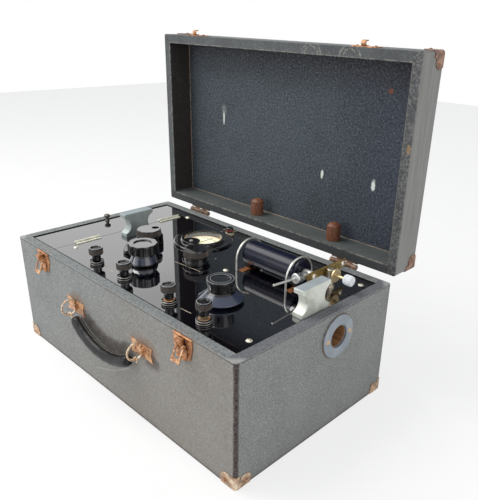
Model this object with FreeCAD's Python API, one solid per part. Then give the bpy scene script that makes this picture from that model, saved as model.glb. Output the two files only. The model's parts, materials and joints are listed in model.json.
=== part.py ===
import FreeCAD, Part
import math
import os

os.makedirs("parts", exist_ok=True)
V = FreeCAD.Vector
X_AXIS = V(1, 0, 0)
Y_AXIS = V(0, 1, 0)
Z_AXIS = V(0, 0, 1)

# Clearances
TOUCH = 0.05
RUN = 0.06
GAP = 0.4
SEAM_GAP = 0.6

# Case: origin at the bottom centre, X along the front, Y to the back, Z up
CASE_L = 450.0
CASE_W = 260.0
CASE_H = 154.0
BASE_WALL = 13.5
BOTTOM_T = 9.0
EDGE_R = 3.0
PANEL_T = 5.0
PANEL_RECESS = 1.5
PANEL_FIT = 0.6
CLEAT_W = 8.0
CLEAT_H = 9.0
SIDE_CLEAT_W = 16.0
BATTERY_SPAN = 60.0
DIVIDER_T = 11.0

FRONT_Y = -CASE_W / 2
BACK_Y = CASE_W / 2
RIGHT_X = CASE_L / 2
IN_X = CASE_L / 2 - BASE_WALL
IN_Y = CASE_W / 2 - BASE_WALL
ZP = CASE_H - PANEL_RECESS
ZU = ZP - PANEL_T
SEAM_X = -IN_X + BATTERY_SPAN

# Corner caps and nails
CAP_T = 1.2
CAP_H = 16.0
CAP_FRONT = 23.0
CAP_SIDE = 22.0
LID_CAP = 20.0
NAIL_R = 2.4
NAIL_H = 1.2

# Port in the right wall
PORT_Y = 25.5
PORT_Z = 122.0
PORT_R = 13.5
FLANGE_R = 26.5
FLANGE_T = 3.0
FLANGE_STEP = 0.6
FLANGE_SCREW_Y = 19.7
FLANGE_SCREW_R = 3.2

# Lid and its hinges
LID_DEPTH = 44.0
LID_WALL = 12.5
LID_BOARD = 6.0
RIM_GAP = 0.4
HINGE_OFF = 6.0
HINGE_X = 147.0
HINGE_L = 42.0
LEAF_T = 1.8
LEAF_H = 24.0
BARREL_R = 3.5
HINGE_PIN_R = 1.6
KNUCKLES = 5
PIN_Y = BACK_Y + HINGE_OFF
PIN_Z = CASE_H
LID_Z0 = CASE_H + RIM_GAP
LID_Z1 = LID_Z0 + LID_DEPTH
PEG_X = (-35.0, 112.0)
PEG_R = 9.5
PEG_L = 25.0
PEG_UP = 20.0

# Draw latches and the lid's catches
LATCH_X = (-153.0, 147.0)
LATCH_W = 30.0
LATCH_TAIL_W = 22.0
LATCH_H = 26.0
LATCH_T = 1.2
PIVOT_Z = CASE_H - 7.0
PIVOT_Y = FRONT_Y - 6.5
PIVOT_R = 1.2
LUG_W = 5.0
LUG_R = 2.6
EAR_GAP = 0.3
EAR_T = 1.2
LOOP_DZ = -5.0
LOOP_DY = 2.0
LOOP_PIN_R = 1.2
LOOP_EYE_R = 2.3
LOOP_ARM_W = 2.6
LOOP_T = 1.2
LOOP_L = 19.0
LOOP_BAR_W = 4.5
LOOP_REST = 24.0
LEVER_L = 21.0
LEVER_TAB_W = 16.0
HOOK_R = 2.2
HOOK_T = 1.2
HOOK_W = 7.0
HOOK_PLAY = 0.6
HOOK_LIP = 2.4
CATCH_W = 34.0
CATCH_H = 14.0
LOOP_Y = PIVOT_Y + LOOP_DY
LOOP_Z = PIVOT_Z + LOOP_DZ
BAR_Z = LOOP_Z + LOOP_L - LOOP_BAR_W
HOOK_Z = BAR_Z - HOOK_PLAY + HOOK_R

# Carrying handle
HANDLE_X = (-76.5, 70.0)
HANDLE_Z = 99.5
HPLATE_W = 42.0
HPLATE_H = 19.0
HPLATE_T = 1.0
HPLATE_DIP = 3.0
RING_R = 10.4
RING_WIRE = 1.2
RING_UP = 1.5
RING_OUT = 9.5
BRIDGE_Z = 8.0
BRIDGE_T = 1.2
BRIDGE_W = 10.0
TUNNEL_W = 3.0
GRIP_R = 7.2
GRIP_SAG = 19.8
GRIP_OUT = 1.5
GRIP_DROP = (0.6, 7.1)
GRIP_END = (11.0, 14.0)
EYE_R = 2.4
EYE_T = 1.3
EYE_W = 5.0
RING_Y = FRONT_Y - RING_OUT
RING_Z = HANDLE_Z + RING_UP
NAIL_DX = 12.0

# Battery compartment cover
COVER_HINGE_Y = (-65.0, 76.0)
COVER_HINGE_L = 37.0
CLEAF_W = 5.0
CLEAF_T = 1.0
CBARREL_R = 1.6
CBARREL_LIFT = 0.3
CPIN_R = 0.8
CKNOB_X = -206.5
CKNOB_Y = 0.0
CKNOB_R = 4.5
CKNOB_H = 10.6
CPIN_Z = ZP + CBARREL_R + CBARREL_LIFT

# Panel screws
SCREW_IN_LEFT = 14.5
SCREW_IN_RIGHT = 10.5
SCREW_IN_FRONT = 25.5
SCREW_IN_BACK = 14.5
SCREWS = ((SEAM_X + SCREW_IN_LEFT, SCREW_IN_FRONT - IN_Y), (SEAM_X + SCREW_IN_LEFT, IN_Y - SCREW_IN_BACK),
          (57.0, 8.5), (IN_X - SCREW_IN_RIGHT, SCREW_IN_FRONT - IN_Y + 1.0),
          (IN_X - SCREW_IN_RIGHT - 0.4, IN_Y - SCREW_IN_BACK - 2.0))
SCREW_HEAD_R = 3.6
SCREW_HEAD_H = 1.8
SCREW_R = 1.8
SCREW_L = 9.0

# Terminals
TERM_IN = 18.0
TERM_Y = TERM_IN - IN_Y
TERM_X = (-70.0, -7.0, 82.0, 142.0)
TERM_LIFT = (0.0, 0.0, 1.7, 3.4)
TBASE_R = 9.0
TBASE_RING = 1.5
TBASE_H = 4.6
THEAD_R = 8.5
THEAD_H = 8.4
THEAD_CHAMF = 1.6
TNECK_R = 5.4
TNECK_H = 6.5
THEAD_GAP = 0.4
TCUP_R = 6.6
TCUP_D = 1.5
STUD_R = 2.5
STUD_UP = 16.6
STUD_DOWN = 17.0
TBORE_UP = 12.5
NUT_R = 5.0
NUT_H = 4.0

# Rotary switches: knob, shaft, wiper and deck of contact studs
SHAFT_R = 3.0
SHAFT_UP = 10.0
SHAFT_DOWN = 34.0
KNOB_GAP = 0.5
DECK_R = 24.0
DECK_T = 3.0
DECK_DROP = 20.0
DECK_HOLE = 3.8
CONTACT_RING_R = 17.5
CONTACT_R = 2.0
CONTACT_PROUD = 1.5
SPACER_R = 2.5
DECK_STUDS = 11
DECK_SPAN = 270.0
SPACER_RING_R = 10.5
WIPER_T = 1.8
WIPER_W = 6.0
WIPER_GAP = 0.35
COLLAR_R = 5.5
COLLAR_T = 2.0

LEVER_POS = (-78.0, -12.0)
LEVER_CAP_R = 17.0
LEVER_CAP_TOP_R = 15.5
LEVER_CAP_Z = 15.8
LEVER_TOP = 24.4
LEVER_BAR_W = 12.0
LEVER_BAR_Z0 = 1.0
LEVER_BAR_H = 13.8
LEVER_TIP_H = 3.5
LEVER_SLOPE = 16.0
LEVER_NECK_R = 13.0
LEVER_FRONT = 44.5
LEVER_REAR = 26.0
LEVER_HOLE_R = 4.8
LEVER_HOLE_D = 3.0
LEVER_HOLE_X = 3.5
LEVER_HOLE_Y = 9.0
LEVER_TURN = 7.0
LEVER_STUDS = 7
LEVER_SPAN = 120.0

FLUTED_POS = (-31.0, -54.0)
FLUTED_R = 19.2
FLUTED_TOP = 28.1
FLUTED_SIDE_Z = 15.4
FLUTED_NECK_R = 13.0
FLUTED_SKIRT_R = 18.0
FLUTED_SKIRT_Z = 3.5
FLUTED_RECESS_R = 11.6
FLUTED_RECESS_D = 1.6
FLUTES = 10
FLUTE_R = 4.2
FLUTE_DEPTH = 1.7

KNURLED_POS = (14.0, -4.0)
KNURLED_TOP = 20.6
KNURLED_TOP_R = 15.0
KNURLED_R = 16.6
KNURLED_Z = 11.3
KNURLED_RING_R = 18.0
KNURLED_RING_Z = 5.7
KNURLED_RING_T = 1.6
FACET_DROP = 3.0

SKIRTED_POS = (116.0, -52.0)
SKIRTED_TOP = 27.6
SKIRTED_TOP_R = 16.0
SKIRTED_SIDE_R = 13.8
SKIRTED_SIDE_Z = 14.0
SKIRT_R = 26.5
SKIRT_Z = 4.7
SKIRT_RIM = 1.6
SKIRTED_RECESS_R = 11.6
SKIRTED_RECESS_D = 1.2

# Galvanometer
METER_X = -40.0
METER_FLANGE_R = 42.0
METER_FLANGE_T = 3.1
BEZEL_R = 31.0
BEZEL_H = 6.6
WINDOW_R = 26.7
WINDOW_LIP = 1.0
BEZEL_TOP_T = 2.6
GLASS_T = 1.2
DIAL_T = 1.0
DIAL_Z = -2.0
METER_BODY_R = 32.0
METER_DEPTH = 30.0
METER_FLOOR = 3.0
BOSS_R = 12.5
BOSS_BACK = 22.0
NEEDLE_L = 40.0
NEEDLE_TAIL = 4.5
NEEDLE_W = 1.0
NEEDLE_T = 0.5
NEEDLE_HUB_R = 3.0
NEEDLE_HUB_H = 2.4
NEEDLE_UP = 0.6
ADJUST_R = 2.6
ADJUST_H = 1.0

# Push button
BUTTON_X = -38.0
BUTTON_IN = 14.5
BUTTON_Y = IN_Y - BUTTON_IN
BUTTON_TO_METER = 49.0
METER_Y = BUTTON_Y - BUTTON_TO_METER
BUTTON_R = 5.6
BUTTON_TOP = 10.2
BUTTON_CAP_Z = 4.7
BUTTON_STEM_R = 4.4
BUTTON_STEM_DOWN = 8.0
SOCKET_R = 5.5
SOCKET_COLLAR_R = 6.2
SOCKET_COLLAR_H = 2.0
SOCKET_DOWN = 14.0
SOCKET_FLOOR = 2.0

# Coil, saddles and bails
TUBE_Y = 42.0
TUBE_UP = 19.5
TUBE_R = 16.0
ARM_IN = 34.5
POST_X = IN_X - ARM_IN
TUBE_L = 88.0
TUBE_TO_POST = 21.0
TUBE_X = (POST_X - TUBE_TO_POST - TUBE_L, POST_X - TUBE_TO_POST)
CORE_R = 6.0
CORE_SINK = 2.0
SADDLE_X = (TUBE_X[0] + 4.0, TUBE_X[1] - 3.0)
SADDLE_W = 8.0
SADDLE_HALF = 21.0
SADDLE_T = 0.9
CRADLE_HALF = 9.0
BAIL_X = (TUBE_X[0] - 2.0, TUBE_X[1] - 5.5)
BAIL_WIRE = 1.3
BAIL_HALF = 23.0
BAIL_APEX = 37.0
BAIL_DOWN = 12.0
BAIL_NUT_R = 4.0
BAIL_NUT_H = 4.0
HOLE_PLAY = 0.3

# Arm with its post, clamp screw and chuck
POST_Y = 69.0
POST_R = 4.9
POST_H = 23.5
POST_NUT_R = 6.2
POST_NUT_H = 2.0
POST_STUD_R = 2.5
CLAMP_UP = 17.0
CLAMP_R = 2.0
CLAMP_HEAD_R = 3.6
CLAMP_HEAD_T = 2.0
DISC_X = POST_X + 7.0
DISC_R = 8.5
DISC_T = 2.0
THUMB_X = POST_X + 22.0
THUMB_L = 10.0
THUMB_R = 6.0
STRIP_T = 1.6
STRIP_SIDE = 0.4
STRIP_Z0 = 14.0
STRIP_H = 11.0
STRIP_Y0 = 33.0
STRIP_Y1 = 105.0
STRIP_SCREW_Y = 99.5
STRIP_SCREW_R = 3.4
STRIP_SCREW_H = 1.8
HUB_Y = 44.0
HUB_R = 5.8
HUB_GAP = 0.9
HUB_UP = -0.8
CHUCK_R = 4.6
CHUCK_L = 10.5
STEM_R = 3.0
NUT_LEN = 10.0
CHUCK_NUT_R = 6.2
CHUCK_END_GAP = 0.4
ROD_R = 1.4
ROD_TIP_Y = -17.0
ROD_TILT = 5.0
ROD_GRIP = 12.0
STRIP_X1 = POST_X - POST_R - STRIP_SIDE
STRIP_X0 = STRIP_X1 - STRIP_T
HUB_X0 = TUBE_X[1] + HUB_GAP
CHUCK_X = (HUB_X0 + STRIP_X0) / 2

# Pedestals
PED_IN = 8.5
PED_X = (SEAM_X + 21.5, IN_X - PED_IN)
PED_W = 14.0
PED_L = 47.0
PED_Y = 3.5
PED_H = 34.0
PED_SCOOP = 9.0
PED_PLATE = 5.5

# Resistance coils under the panel
BOBBIN_X = (32.0, 54.0, 76.0)
BOBBIN_Y = (-66.0, -44.0)
BOBBIN_R = 9.0
BOBBIN_CORE_R = 6.0
BOBBIN_L = 34.0
BOBBIN_CHEEK = 2.0


def box(x0, y0, z0, x1, y1, z1):
    return Part.makeBox(x1 - x0, y1 - y0, z1 - z0, V(x0, y0, z0))


def cyl(radius, length, base, axis=Z_AXIS):
    return Part.makeCylinder(radius, length, base, axis)


def tube(outer, inner, length, base, axis=Z_AXIS):
    return cyl(outer, length, base, axis).cut(cyl(inner, length, base, axis))


def fuse(shapes):
    out = shapes[0].fuse(shapes[1:]) if len(shapes) > 1 else shapes[0]
    return out.removeSplitter()


def group(shapes):
    return Part.makeCompound(shapes)


def prism(points, direction):
    wire = Part.makePolygon(points + [points[0]])
    return Part.Face(wire).extrude(direction)


def lathe(profile, x, y, z):
    pts = [V(x + r, y, z + h) for r, h in profile]
    wire = Part.makePolygon(pts + [pts[0]])
    return Part.Face(wire).revolve(V(x, y, z), Z_AXIS, 360)


def dome(radius, height, base, axis):
    ball_r = (radius * radius + height * height) / (2 * height)
    centre = base - axis * (ball_r - height)
    ball = Part.makeSphere(ball_r, centre)
    return ball.common(cyl(radius + 1, height + 1, base, axis))


def save(node, shape):
    shape.exportStep("parts/" + node + ".step")


def rounded_box(x0, y0, z0, x1, y1, z1, radius):
    body = box(x0, y0, z0, x1, y1, z1)
    upright = [e for e in body.Edges if abs(e.tangentAt(e.FirstParameter).z) > 0.9]
    return body.makeFillet(radius, upright)


def lid_open(shape):
    out = shape.copy()
    out.rotate(V(0, PIN_Y, PIN_Z), X_AXIS, -90)
    return out


# Wooden case: walls, floor, port bore and seats for the corner caps
def base_case(caps):
    body = rounded_box(-RIGHT_X, FRONT_Y, 0, RIGHT_X, BACK_Y, CASE_H, EDGE_R)
    body = body.cut(box(-IN_X, -IN_Y, BOTTOM_T, IN_X, IN_Y, CASE_H + 1))
    body = body.cut(cyl(PORT_R, BASE_WALL + 2, V(IN_X - 1, PORT_Y, PORT_Z), X_AXIS))
    return body.cut(caps)


# Lobed metal cap on one corner, drawn as a mask that is then cut from a thin shell
def cap_mask(sx, sy, z, sz, along_x, along_y, height):
    cx = sx * RIGHT_X
    cy = sy * BACK_Y
    deep = 4.0
    block = height / 2.7
    parts = []
    lobe_x = along_x - CAP_H / 2 - 2
    lobe_y = along_y - CAP_H / 2 - 1
    lobe_r = CAP_H / 2 + 2
    x_in = cx - sx * block
    y_in = cy - sy * block
    z_top = z + sz * height
    parts.append(box(min(cx + sx * deep, x_in), min(cy + sy * deep, y_in), min(z - sz, z_top),
                     max(cx + sx * deep, x_in), max(cy + sy * deep, y_in), max(z - sz, z_top)))
    front = V(cx - sx * lobe_x, cy - sy * CAP_T, z + sz * height * 0.36)
    parts.append(cyl(lobe_r, deep + CAP_T, front, Y_AXIS * sy))
    side = V(cx - sx * CAP_T, cy - sy * lobe_y, z + sz * height * 0.36)
    parts.append(cyl(lobe_r - 1, deep + CAP_T, side, X_AXIS * sx))
    flat = V(cx - sx * block, cy - sy * block, z - sz)
    parts.append(cyl(height * 0.62, CAP_T + 1, flat, Z_AXIS * sz))
    return fuse(parts)


def cap_nails(sx, sy, z, sz, along_x, along_y, height):
    front = V(sx * (RIGHT_X - along_x * 0.62), sy * (BACK_Y + CAP_T), z + sz * height * 0.42)
    side = V(sx * (RIGHT_X + CAP_T), sy * (BACK_Y - along_y * 0.62), z + sz * height * 0.42)
    return [dome(NAIL_R, NAIL_H, front, Y_AXIS * sy), dome(NAIL_R, NAIL_H, side, X_AXIS * sx)]


def corner_caps(z, sz, along_x, along_y, height):
    low = z if sz > 0 else z - height - 4
    high = z + height + 4 if sz > 0 else z
    outer = rounded_box(-RIGHT_X - CAP_T, FRONT_Y - CAP_T, low, RIGHT_X + CAP_T, BACK_Y + CAP_T,
                        high, EDGE_R + CAP_T)
    in_low = z + CAP_T if sz > 0 else low - 1
    in_high = high + 1 if sz > 0 else z - CAP_T
    inner = rounded_box(-RIGHT_X, FRONT_Y, in_low, RIGHT_X, BACK_Y, in_high, EDGE_R)
    shell = outer.cut(inner)
    out = []
    for sx in (-1, 1):
        for sy in (-1, 1):
            cap = shell.common(cap_mask(sx, sy, z, sz, along_x, along_y, height))
            out.append(fuse([cap] + cap_nails(sx, sy, z, sz, along_x, along_y, height)))
    return out


# Flange round the port, with its two screws
def port_flange():
    base = V(RIGHT_X, PORT_Y, PORT_Z)
    body = tube(FLANGE_R, PORT_R + FLANGE_STEP, FLANGE_T, base, X_AXIS)
    rim = [e for e in body.Edges if abs(e.Length - 2 * math.pi * FLANGE_R) < 0.01
           and e.CenterOfMass.x > RIGHT_X + FLANGE_T - 0.01]
    body = body.makeChamfer(0.8, rim)
    heads = []
    for s in (-1, 1):
        at = V(RIGHT_X + FLANGE_T, PORT_Y + s * FLANGE_SCREW_Y, PORT_Z)
        heads.append(dome(FLANGE_SCREW_R, 1.4, at, X_AXIS))
    return fuse([body] + heads)


# Cleats that carry the panel, and the wall between coils and battery
def inner_woodwork():
    low = ZU - CLEAT_H
    parts = []
    div = SEAM_X + DIVIDER_T / 2
    parts.append(box(div - DIVIDER_T, -IN_Y, BOTTOM_T, div, IN_Y, ZU))
    for y0, y1 in ((-IN_Y, -IN_Y + CLEAT_W), (IN_Y - CLEAT_W, IN_Y)):
        parts.append(box(-IN_X, y0, low, IN_X, y1, ZU))
    parts.append(box(-IN_X, -IN_Y, low, -IN_X + CLEAT_W, IN_Y, ZU))
    parts.append(box(IN_X - SIDE_CLEAT_W, -IN_Y, low, IN_X, IN_Y, ZU))
    parts.append(box(div, -IN_Y, low, div + SIDE_CLEAT_W, IN_Y, ZU))
    body = fuse(parts)
    for x, y in SCREWS:
        body = body.cut(cyl(SCREW_R + TOUCH, SCREW_L + 1, V(x, y, ZU - SCREW_L + PANEL_T - 1)))
    for x in PED_X:
        for s in (-1, 1):
            at = V(x, PED_Y + s * PED_L / 4, ZU - CLEAT_H - 1)
            body = body.cut(cyl(SCREW_R + TOUCH, CLEAT_H + 2, at))
    return body


def knob_spots():
    return (LEVER_POS, FLUTED_POS, KNURLED_POS, SKIRTED_POS)


# Glossy insulating panel, drilled for everything it carries
def panel():
    body = box(SEAM_X + SEAM_GAP / 2, -IN_Y + PANEL_FIT, ZU, IN_X - PANEL_FIT, IN_Y - PANEL_FIT, ZP)
    holes = [(x, y, SHAFT_R + RUN) for x, y in knob_spots()]
    holes += [(x, TERM_Y, STUD_R + HOLE_PLAY) for x in TERM_X]
    holes += [(x, y, SCREW_R + TOUCH) for x, y in SCREWS]
    holes += [(x, TUBE_Y + s * BAIL_HALF, BAIL_WIRE + HOLE_PLAY) for x in BAIL_X for s in (-1, 1)]
    holes += [(x, PED_Y + s * PED_L / 4, SCREW_R + TOUCH) for x in PED_X for s in (-1, 1)]
    holes.append((METER_X, METER_Y, METER_BODY_R + HOLE_PLAY))
    holes.append((BUTTON_X, BUTTON_Y, SOCKET_R + TOUCH))
    holes.append((POST_X, POST_Y, POST_STUD_R + HOLE_PLAY))
    for x, y, r in holes:
        body = body.cut(cyl(r, PANEL_T + 2, V(x, y, ZU - 1)))
    return body


def panel_screws():
    out = []
    for x, y in SCREWS:
        head = dome(SCREW_HEAD_R, SCREW_HEAD_H, V(x, y, ZP), Z_AXIS)
        shank = cyl(SCREW_R, SCREW_L, V(x, y, ZP - SCREW_L))
        out.append(fuse([head, shank]))
    return group(out)


# Small hinges of the compartment cover
def cover_hinge(y, on_panel):
    third = COVER_HINGE_L / 3
    lo = y - COVER_HINGE_L / 2
    spans = ((lo, lo + third), (lo + 2 * third, lo + 3 * third))
    if not on_panel:
        spans = ((lo + third + GAP, lo + 2 * third - GAP),)
    side = 1 if on_panel else -1
    near = SEAM_X + side * (CBARREL_R + GAP)
    far = SEAM_X + side * (CLEAF_W + SEAM_GAP)
    parts = [box(min(near, far), lo, ZP, max(near, far), lo + COVER_HINGE_L, ZP + CLEAF_T)]
    for y0, y1 in spans:
        knuckle = cyl(CBARREL_R, y1 - y0, V(SEAM_X, y0, CPIN_Z), Y_AXIS)
        reach = SEAM_X + side * CPIN_R
        web = box(min(reach, near), y0, ZP + CBARREL_LIFT, max(reach, near), y1, ZP + CLEAF_T)
        parts += [knuckle, web]
    body = fuse(parts)
    if on_panel:
        body = body.fuse(cyl(CPIN_R, COVER_HINGE_L, V(SEAM_X, lo, CPIN_Z), Y_AXIS))
        return body.removeSplitter()
    return body.cut(cyl(CPIN_R + RUN, COVER_HINGE_L, V(SEAM_X, lo, CPIN_Z), Y_AXIS))


def cover_hinges(on_panel):
    return group([cover_hinge(y, on_panel) for y in COVER_HINGE_Y])


def compartment_cover():
    return box(-IN_X + PANEL_FIT, -IN_Y + PANEL_FIT, ZU, SEAM_X - SEAM_GAP / 2, IN_Y - PANEL_FIT, ZP)


def cover_knob():
    profile = ((0, 0), (3.4, 0), (3.4, 1.2), (2.2, 2.2), (2.4, CKNOB_H - 6), (CKNOB_R, CKNOB_H - 4),
               (CKNOB_R, CKNOB_H - 1.6), (CKNOB_R - 1.4, CKNOB_H - 0.3), (0, CKNOB_H))
    return lathe(profile, CKNOB_X, CKNOB_Y, ZP)


# Round galvanometer: flange, bezel with a kidney window, glass, dial and needle
def meter_case():
    top = BEZEL_H
    in_r = WINDOW_R + WINDOW_LIP
    shelf = DIAL_Z - DIAL_T
    profile = ((0, -METER_DEPTH), (METER_BODY_R, -METER_DEPTH), (METER_BODY_R, 0),
               (METER_FLANGE_R, 0), (METER_FLANGE_R, METER_FLANGE_T - 1),
               (METER_FLANGE_R - 1.2, METER_FLANGE_T), (BEZEL_R + 0.6, METER_FLANGE_T),
               (BEZEL_R, top - 0.6), (BEZEL_R - 0.8, top), (WINDOW_R, top),
               (WINDOW_R, top - BEZEL_TOP_T), (in_r, top - BEZEL_TOP_T), (in_r, shelf),
               (in_r - 3, shelf), (in_r - 3, METER_FLOOR - METER_DEPTH), (0, METER_FLOOR - METER_DEPTH))
    body = lathe(profile, METER_X, METER_Y, ZP)
    boss = cyl(BOSS_R, BEZEL_TOP_T, V(METER_X, METER_Y - BOSS_BACK, ZP + top - BEZEL_TOP_T))
    limit = cyl(BEZEL_R - 0.8, BEZEL_TOP_T, V(METER_X, METER_Y, ZP + top - BEZEL_TOP_T))
    return body.fuse(boss.common(limit)).removeSplitter()


def meter_glass():
    z = ZP + BEZEL_H - BEZEL_TOP_T - GLASS_T
    return cyl(WINDOW_R + WINDOW_LIP - TOUCH, GLASS_T, V(METER_X, METER_Y, z))


def meter_dial():
    plate = cyl(WINDOW_R + WINDOW_LIP - TOUCH, DIAL_T, V(METER_X, METER_Y, ZP + DIAL_Z - DIAL_T))
    post = cyl(NEEDLE_HUB_R - 1, NEEDLE_UP, V(METER_X, METER_Y - BOSS_BACK, ZP + DIAL_Z))
    return fuse([plate, post])


def meter_needle():
    z = ZP + DIAL_Z + NEEDLE_UP + TOUCH
    y = METER_Y - BOSS_BACK
    hub = cyl(NEEDLE_HUB_R, NEEDLE_HUB_H, V(METER_X, y, z))
    up = z + NEEDLE_HUB_H / 2
    tip = y + NEEDLE_L
    pts = [V(METER_X - NEEDLE_W, y, up), V(METER_X + NEEDLE_W, y, up),
           V(METER_X + NEEDLE_W / 4, tip, up), V(METER_X - NEEDLE_W / 4, tip, up)]
    tail = box(METER_X - NEEDLE_W, y - NEEDLE_TAIL, up, METER_X + NEEDLE_W, y, up + NEEDLE_T)
    return fuse([hub, prism(pts, V(0, 0, NEEDLE_T)), tail])


def zero_adjuster():
    at = V(METER_X, METER_Y - BOSS_BACK, ZP + BEZEL_H)
    head = cyl(ADJUST_R, ADJUST_H, at)
    slot = box(METER_X - ADJUST_R, at.y - 0.4, at.z + ADJUST_H / 2, METER_X + ADJUST_R, at.y + 0.4,
               at.z + ADJUST_H + 1)
    return head.cut(slot)


# Switch decks, rotors and the four knobs
def switch_deck(x, y, count, span):
    z1 = ZU - DECK_DROP
    body = tube(DECK_R, DECK_HOLE, DECK_T, V(x, y, z1 - DECK_T))
    parts = [body]
    for i in range(count):
        a = math.radians(90 - span / 2 + span * i / (count - 1))
        at = V(x + CONTACT_RING_R * math.cos(a), y + CONTACT_RING_R * math.sin(a),
               z1 - DECK_T - CONTACT_PROUD)
        parts.append(cyl(CONTACT_R, DECK_T + 2 * CONTACT_PROUD, at))
    for s in (-1, 1):
        parts.append(cyl(SPACER_R, DECK_DROP, V(x + s * SPACER_RING_R, y, z1)))
    return fuse(parts)


def switch_decks():
    counts = (LEVER_STUDS, DECK_STUDS, DECK_STUDS, DECK_STUDS)
    spans = (LEVER_SPAN, DECK_SPAN, DECK_SPAN, DECK_SPAN)
    return group([switch_deck(p[0], p[1], n, s) for p, n, s in zip(knob_spots(), counts, spans)])


def rotor(x, y):
    wiper_z = ZU - DECK_DROP - DECK_T - CONTACT_PROUD - WIPER_GAP
    shaft = cyl(SHAFT_R, SHAFT_UP + SHAFT_DOWN, V(x, y, ZP - SHAFT_DOWN))
    collar = cyl(COLLAR_R, COLLAR_T + WIPER_T, V(x, y, wiper_z - WIPER_T - COLLAR_T))
    reach = CONTACT_RING_R + CONTACT_R
    arm = box(x - WIPER_W / 2, y, wiper_z - WIPER_T, x + WIPER_W / 2, y + reach, wiper_z)
    return fuse([shaft, collar, arm])


def shaft_hole(body, x, y):
    return body.cut(cyl(SHAFT_R + TOUCH, SHAFT_UP + 1, V(x, y, ZP - 1)))


def knob_lever():
    x, y = LEVER_POS
    half = LEVER_BAR_W / 2
    z0 = ZP + LEVER_BAR_Z0
    tip = z0 + LEVER_TIP_H
    top = z0 + LEVER_BAR_H
    front = y - LEVER_FRONT
    rear = y + LEVER_REAR
    plan = [V(x - half, front + half, z0), V(x + half, front + half, z0), V(x + half, rear - half, z0),
            V(x, rear, z0), V(x - half, rear - half, z0)]
    side = [V(x - half, front, z0), V(x - half, front, tip), V(x - half, front + LEVER_SLOPE, top),
            V(x - half, rear - LEVER_SLOPE / 2, top), V(x - half, rear, tip), V(x - half, rear, z0)]
    nose = cyl(half, LEVER_BAR_H, V(x, front + half, z0))
    bar = fuse([prism(plan, V(0, 0, LEVER_BAR_H)), nose]).common(prism(side, V(LEVER_BAR_W, 0, 0)))
    neck = cyl(LEVER_NECK_R, LEVER_CAP_Z - LEVER_BAR_Z0, V(x, y, z0))
    tall = LEVER_TOP - LEVER_CAP_Z
    cap = Part.makeCone(LEVER_CAP_R, LEVER_CAP_TOP_R, tall, V(x, y, ZP + LEVER_CAP_Z))
    hole_at = V(x + LEVER_HOLE_X, y + LEVER_HOLE_Y, ZP + LEVER_TOP - LEVER_HOLE_D)
    cap = cap.cut(cyl(LEVER_HOLE_R, LEVER_HOLE_D + 1, hole_at))
    body = fuse([bar, neck, cap])
    body.rotate(V(x, y, 0), Z_AXIS, LEVER_TURN)
    return shaft_hole(body, x, y)


def knob_fluted():
    x, y = FLUTED_POS
    crown = cyl(FLUTED_R, FLUTED_TOP - FLUTED_SIDE_Z, V(x, y, ZP + FLUTED_SIDE_Z))
    rims = [e for e in crown.Edges if abs(e.Length - 2 * math.pi * FLUTED_R) < 0.01]
    crown = crown.makeFillet(1.5, rims)
    for i in range(FLUTES):
        a = 2 * math.pi * i / FLUTES
        ring = FLUTED_R + FLUTE_R - FLUTE_DEPTH
        at = V(x + ring * math.cos(a), y + ring * math.sin(a), ZP + FLUTED_SIDE_Z - 1)
        crown = crown.cut(cyl(FLUTE_R, FLUTED_TOP, at))
    at = V(x, y, ZP + FLUTED_TOP - FLUTED_RECESS_D)
    crown = crown.cut(cyl(FLUTED_RECESS_R, FLUTED_RECESS_D + 1, at))
    profile = ((0, KNOB_GAP), (FLUTED_SKIRT_R - 1.5, KNOB_GAP), (FLUTED_SKIRT_R, 2.0),
               (FLUTED_SKIRT_R, FLUTED_SKIRT_Z), (FLUTED_NECK_R, FLUTED_SIDE_Z), (0, FLUTED_SIDE_Z))
    return shaft_hole(fuse([crown, lathe(profile, x, y, ZP)]), x, y)


def knob_knurled():
    x, y = KNURLED_POS
    profile = ((0, KNOB_GAP), (KNURLED_TOP_R, KNOB_GAP), (KNURLED_TOP_R, KNURLED_RING_Z - KNURLED_RING_T),
               (KNURLED_RING_R, KNURLED_RING_Z - KNURLED_RING_T), (KNURLED_RING_R, KNURLED_RING_Z),
               (KNURLED_TOP_R, KNURLED_RING_Z), (KNURLED_TOP_R, KNURLED_Z - 1.5),
               (KNURLED_R, KNURLED_Z), (KNURLED_TOP_R, KNURLED_TOP - 0.8),
               (KNURLED_TOP_R - 0.8, KNURLED_TOP), (0, KNURLED_TOP))
    body = lathe(profile, x, y, ZP)
    edge = KNURLED_TOP_R - 6
    high = ZP + KNURLED_TOP + 0.01
    pts = [V(x - 30, y - edge, high), V(x - 30, y - edge - 20, high),
           V(x - 30, y - edge - 20, high - FACET_DROP * 3.3)]
    body = body.cut(prism(pts, V(60, 0, 0)))
    return shaft_hole(body, x, y)


def knob_skirted():
    x, y = SKIRTED_POS
    profile = ((0, KNOB_GAP), (SKIRT_R - 8, KNOB_GAP), (SKIRT_R - 1, SKIRT_Z - SKIRT_RIM),
               (SKIRT_R, SKIRT_Z - 0.8), (SKIRT_R - 0.3, SKIRT_Z), (SKIRTED_SIDE_R + 1.2, SKIRTED_SIDE_Z),
               (SKIRTED_SIDE_R, SKIRTED_SIDE_Z), (SKIRTED_TOP_R, SKIRTED_TOP - 3),
               (SKIRTED_TOP_R, SKIRTED_TOP - 1),
               (SKIRTED_TOP_R - 1, SKIRTED_TOP), (SKIRTED_RECESS_R, SKIRTED_TOP),
               (SKIRTED_RECESS_R, SKIRTED_TOP - SKIRTED_RECESS_D), (0, SKIRTED_TOP - SKIRTED_RECESS_D))
    return shaft_hole(lathe(profile, x, y, ZP), x, y)


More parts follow.
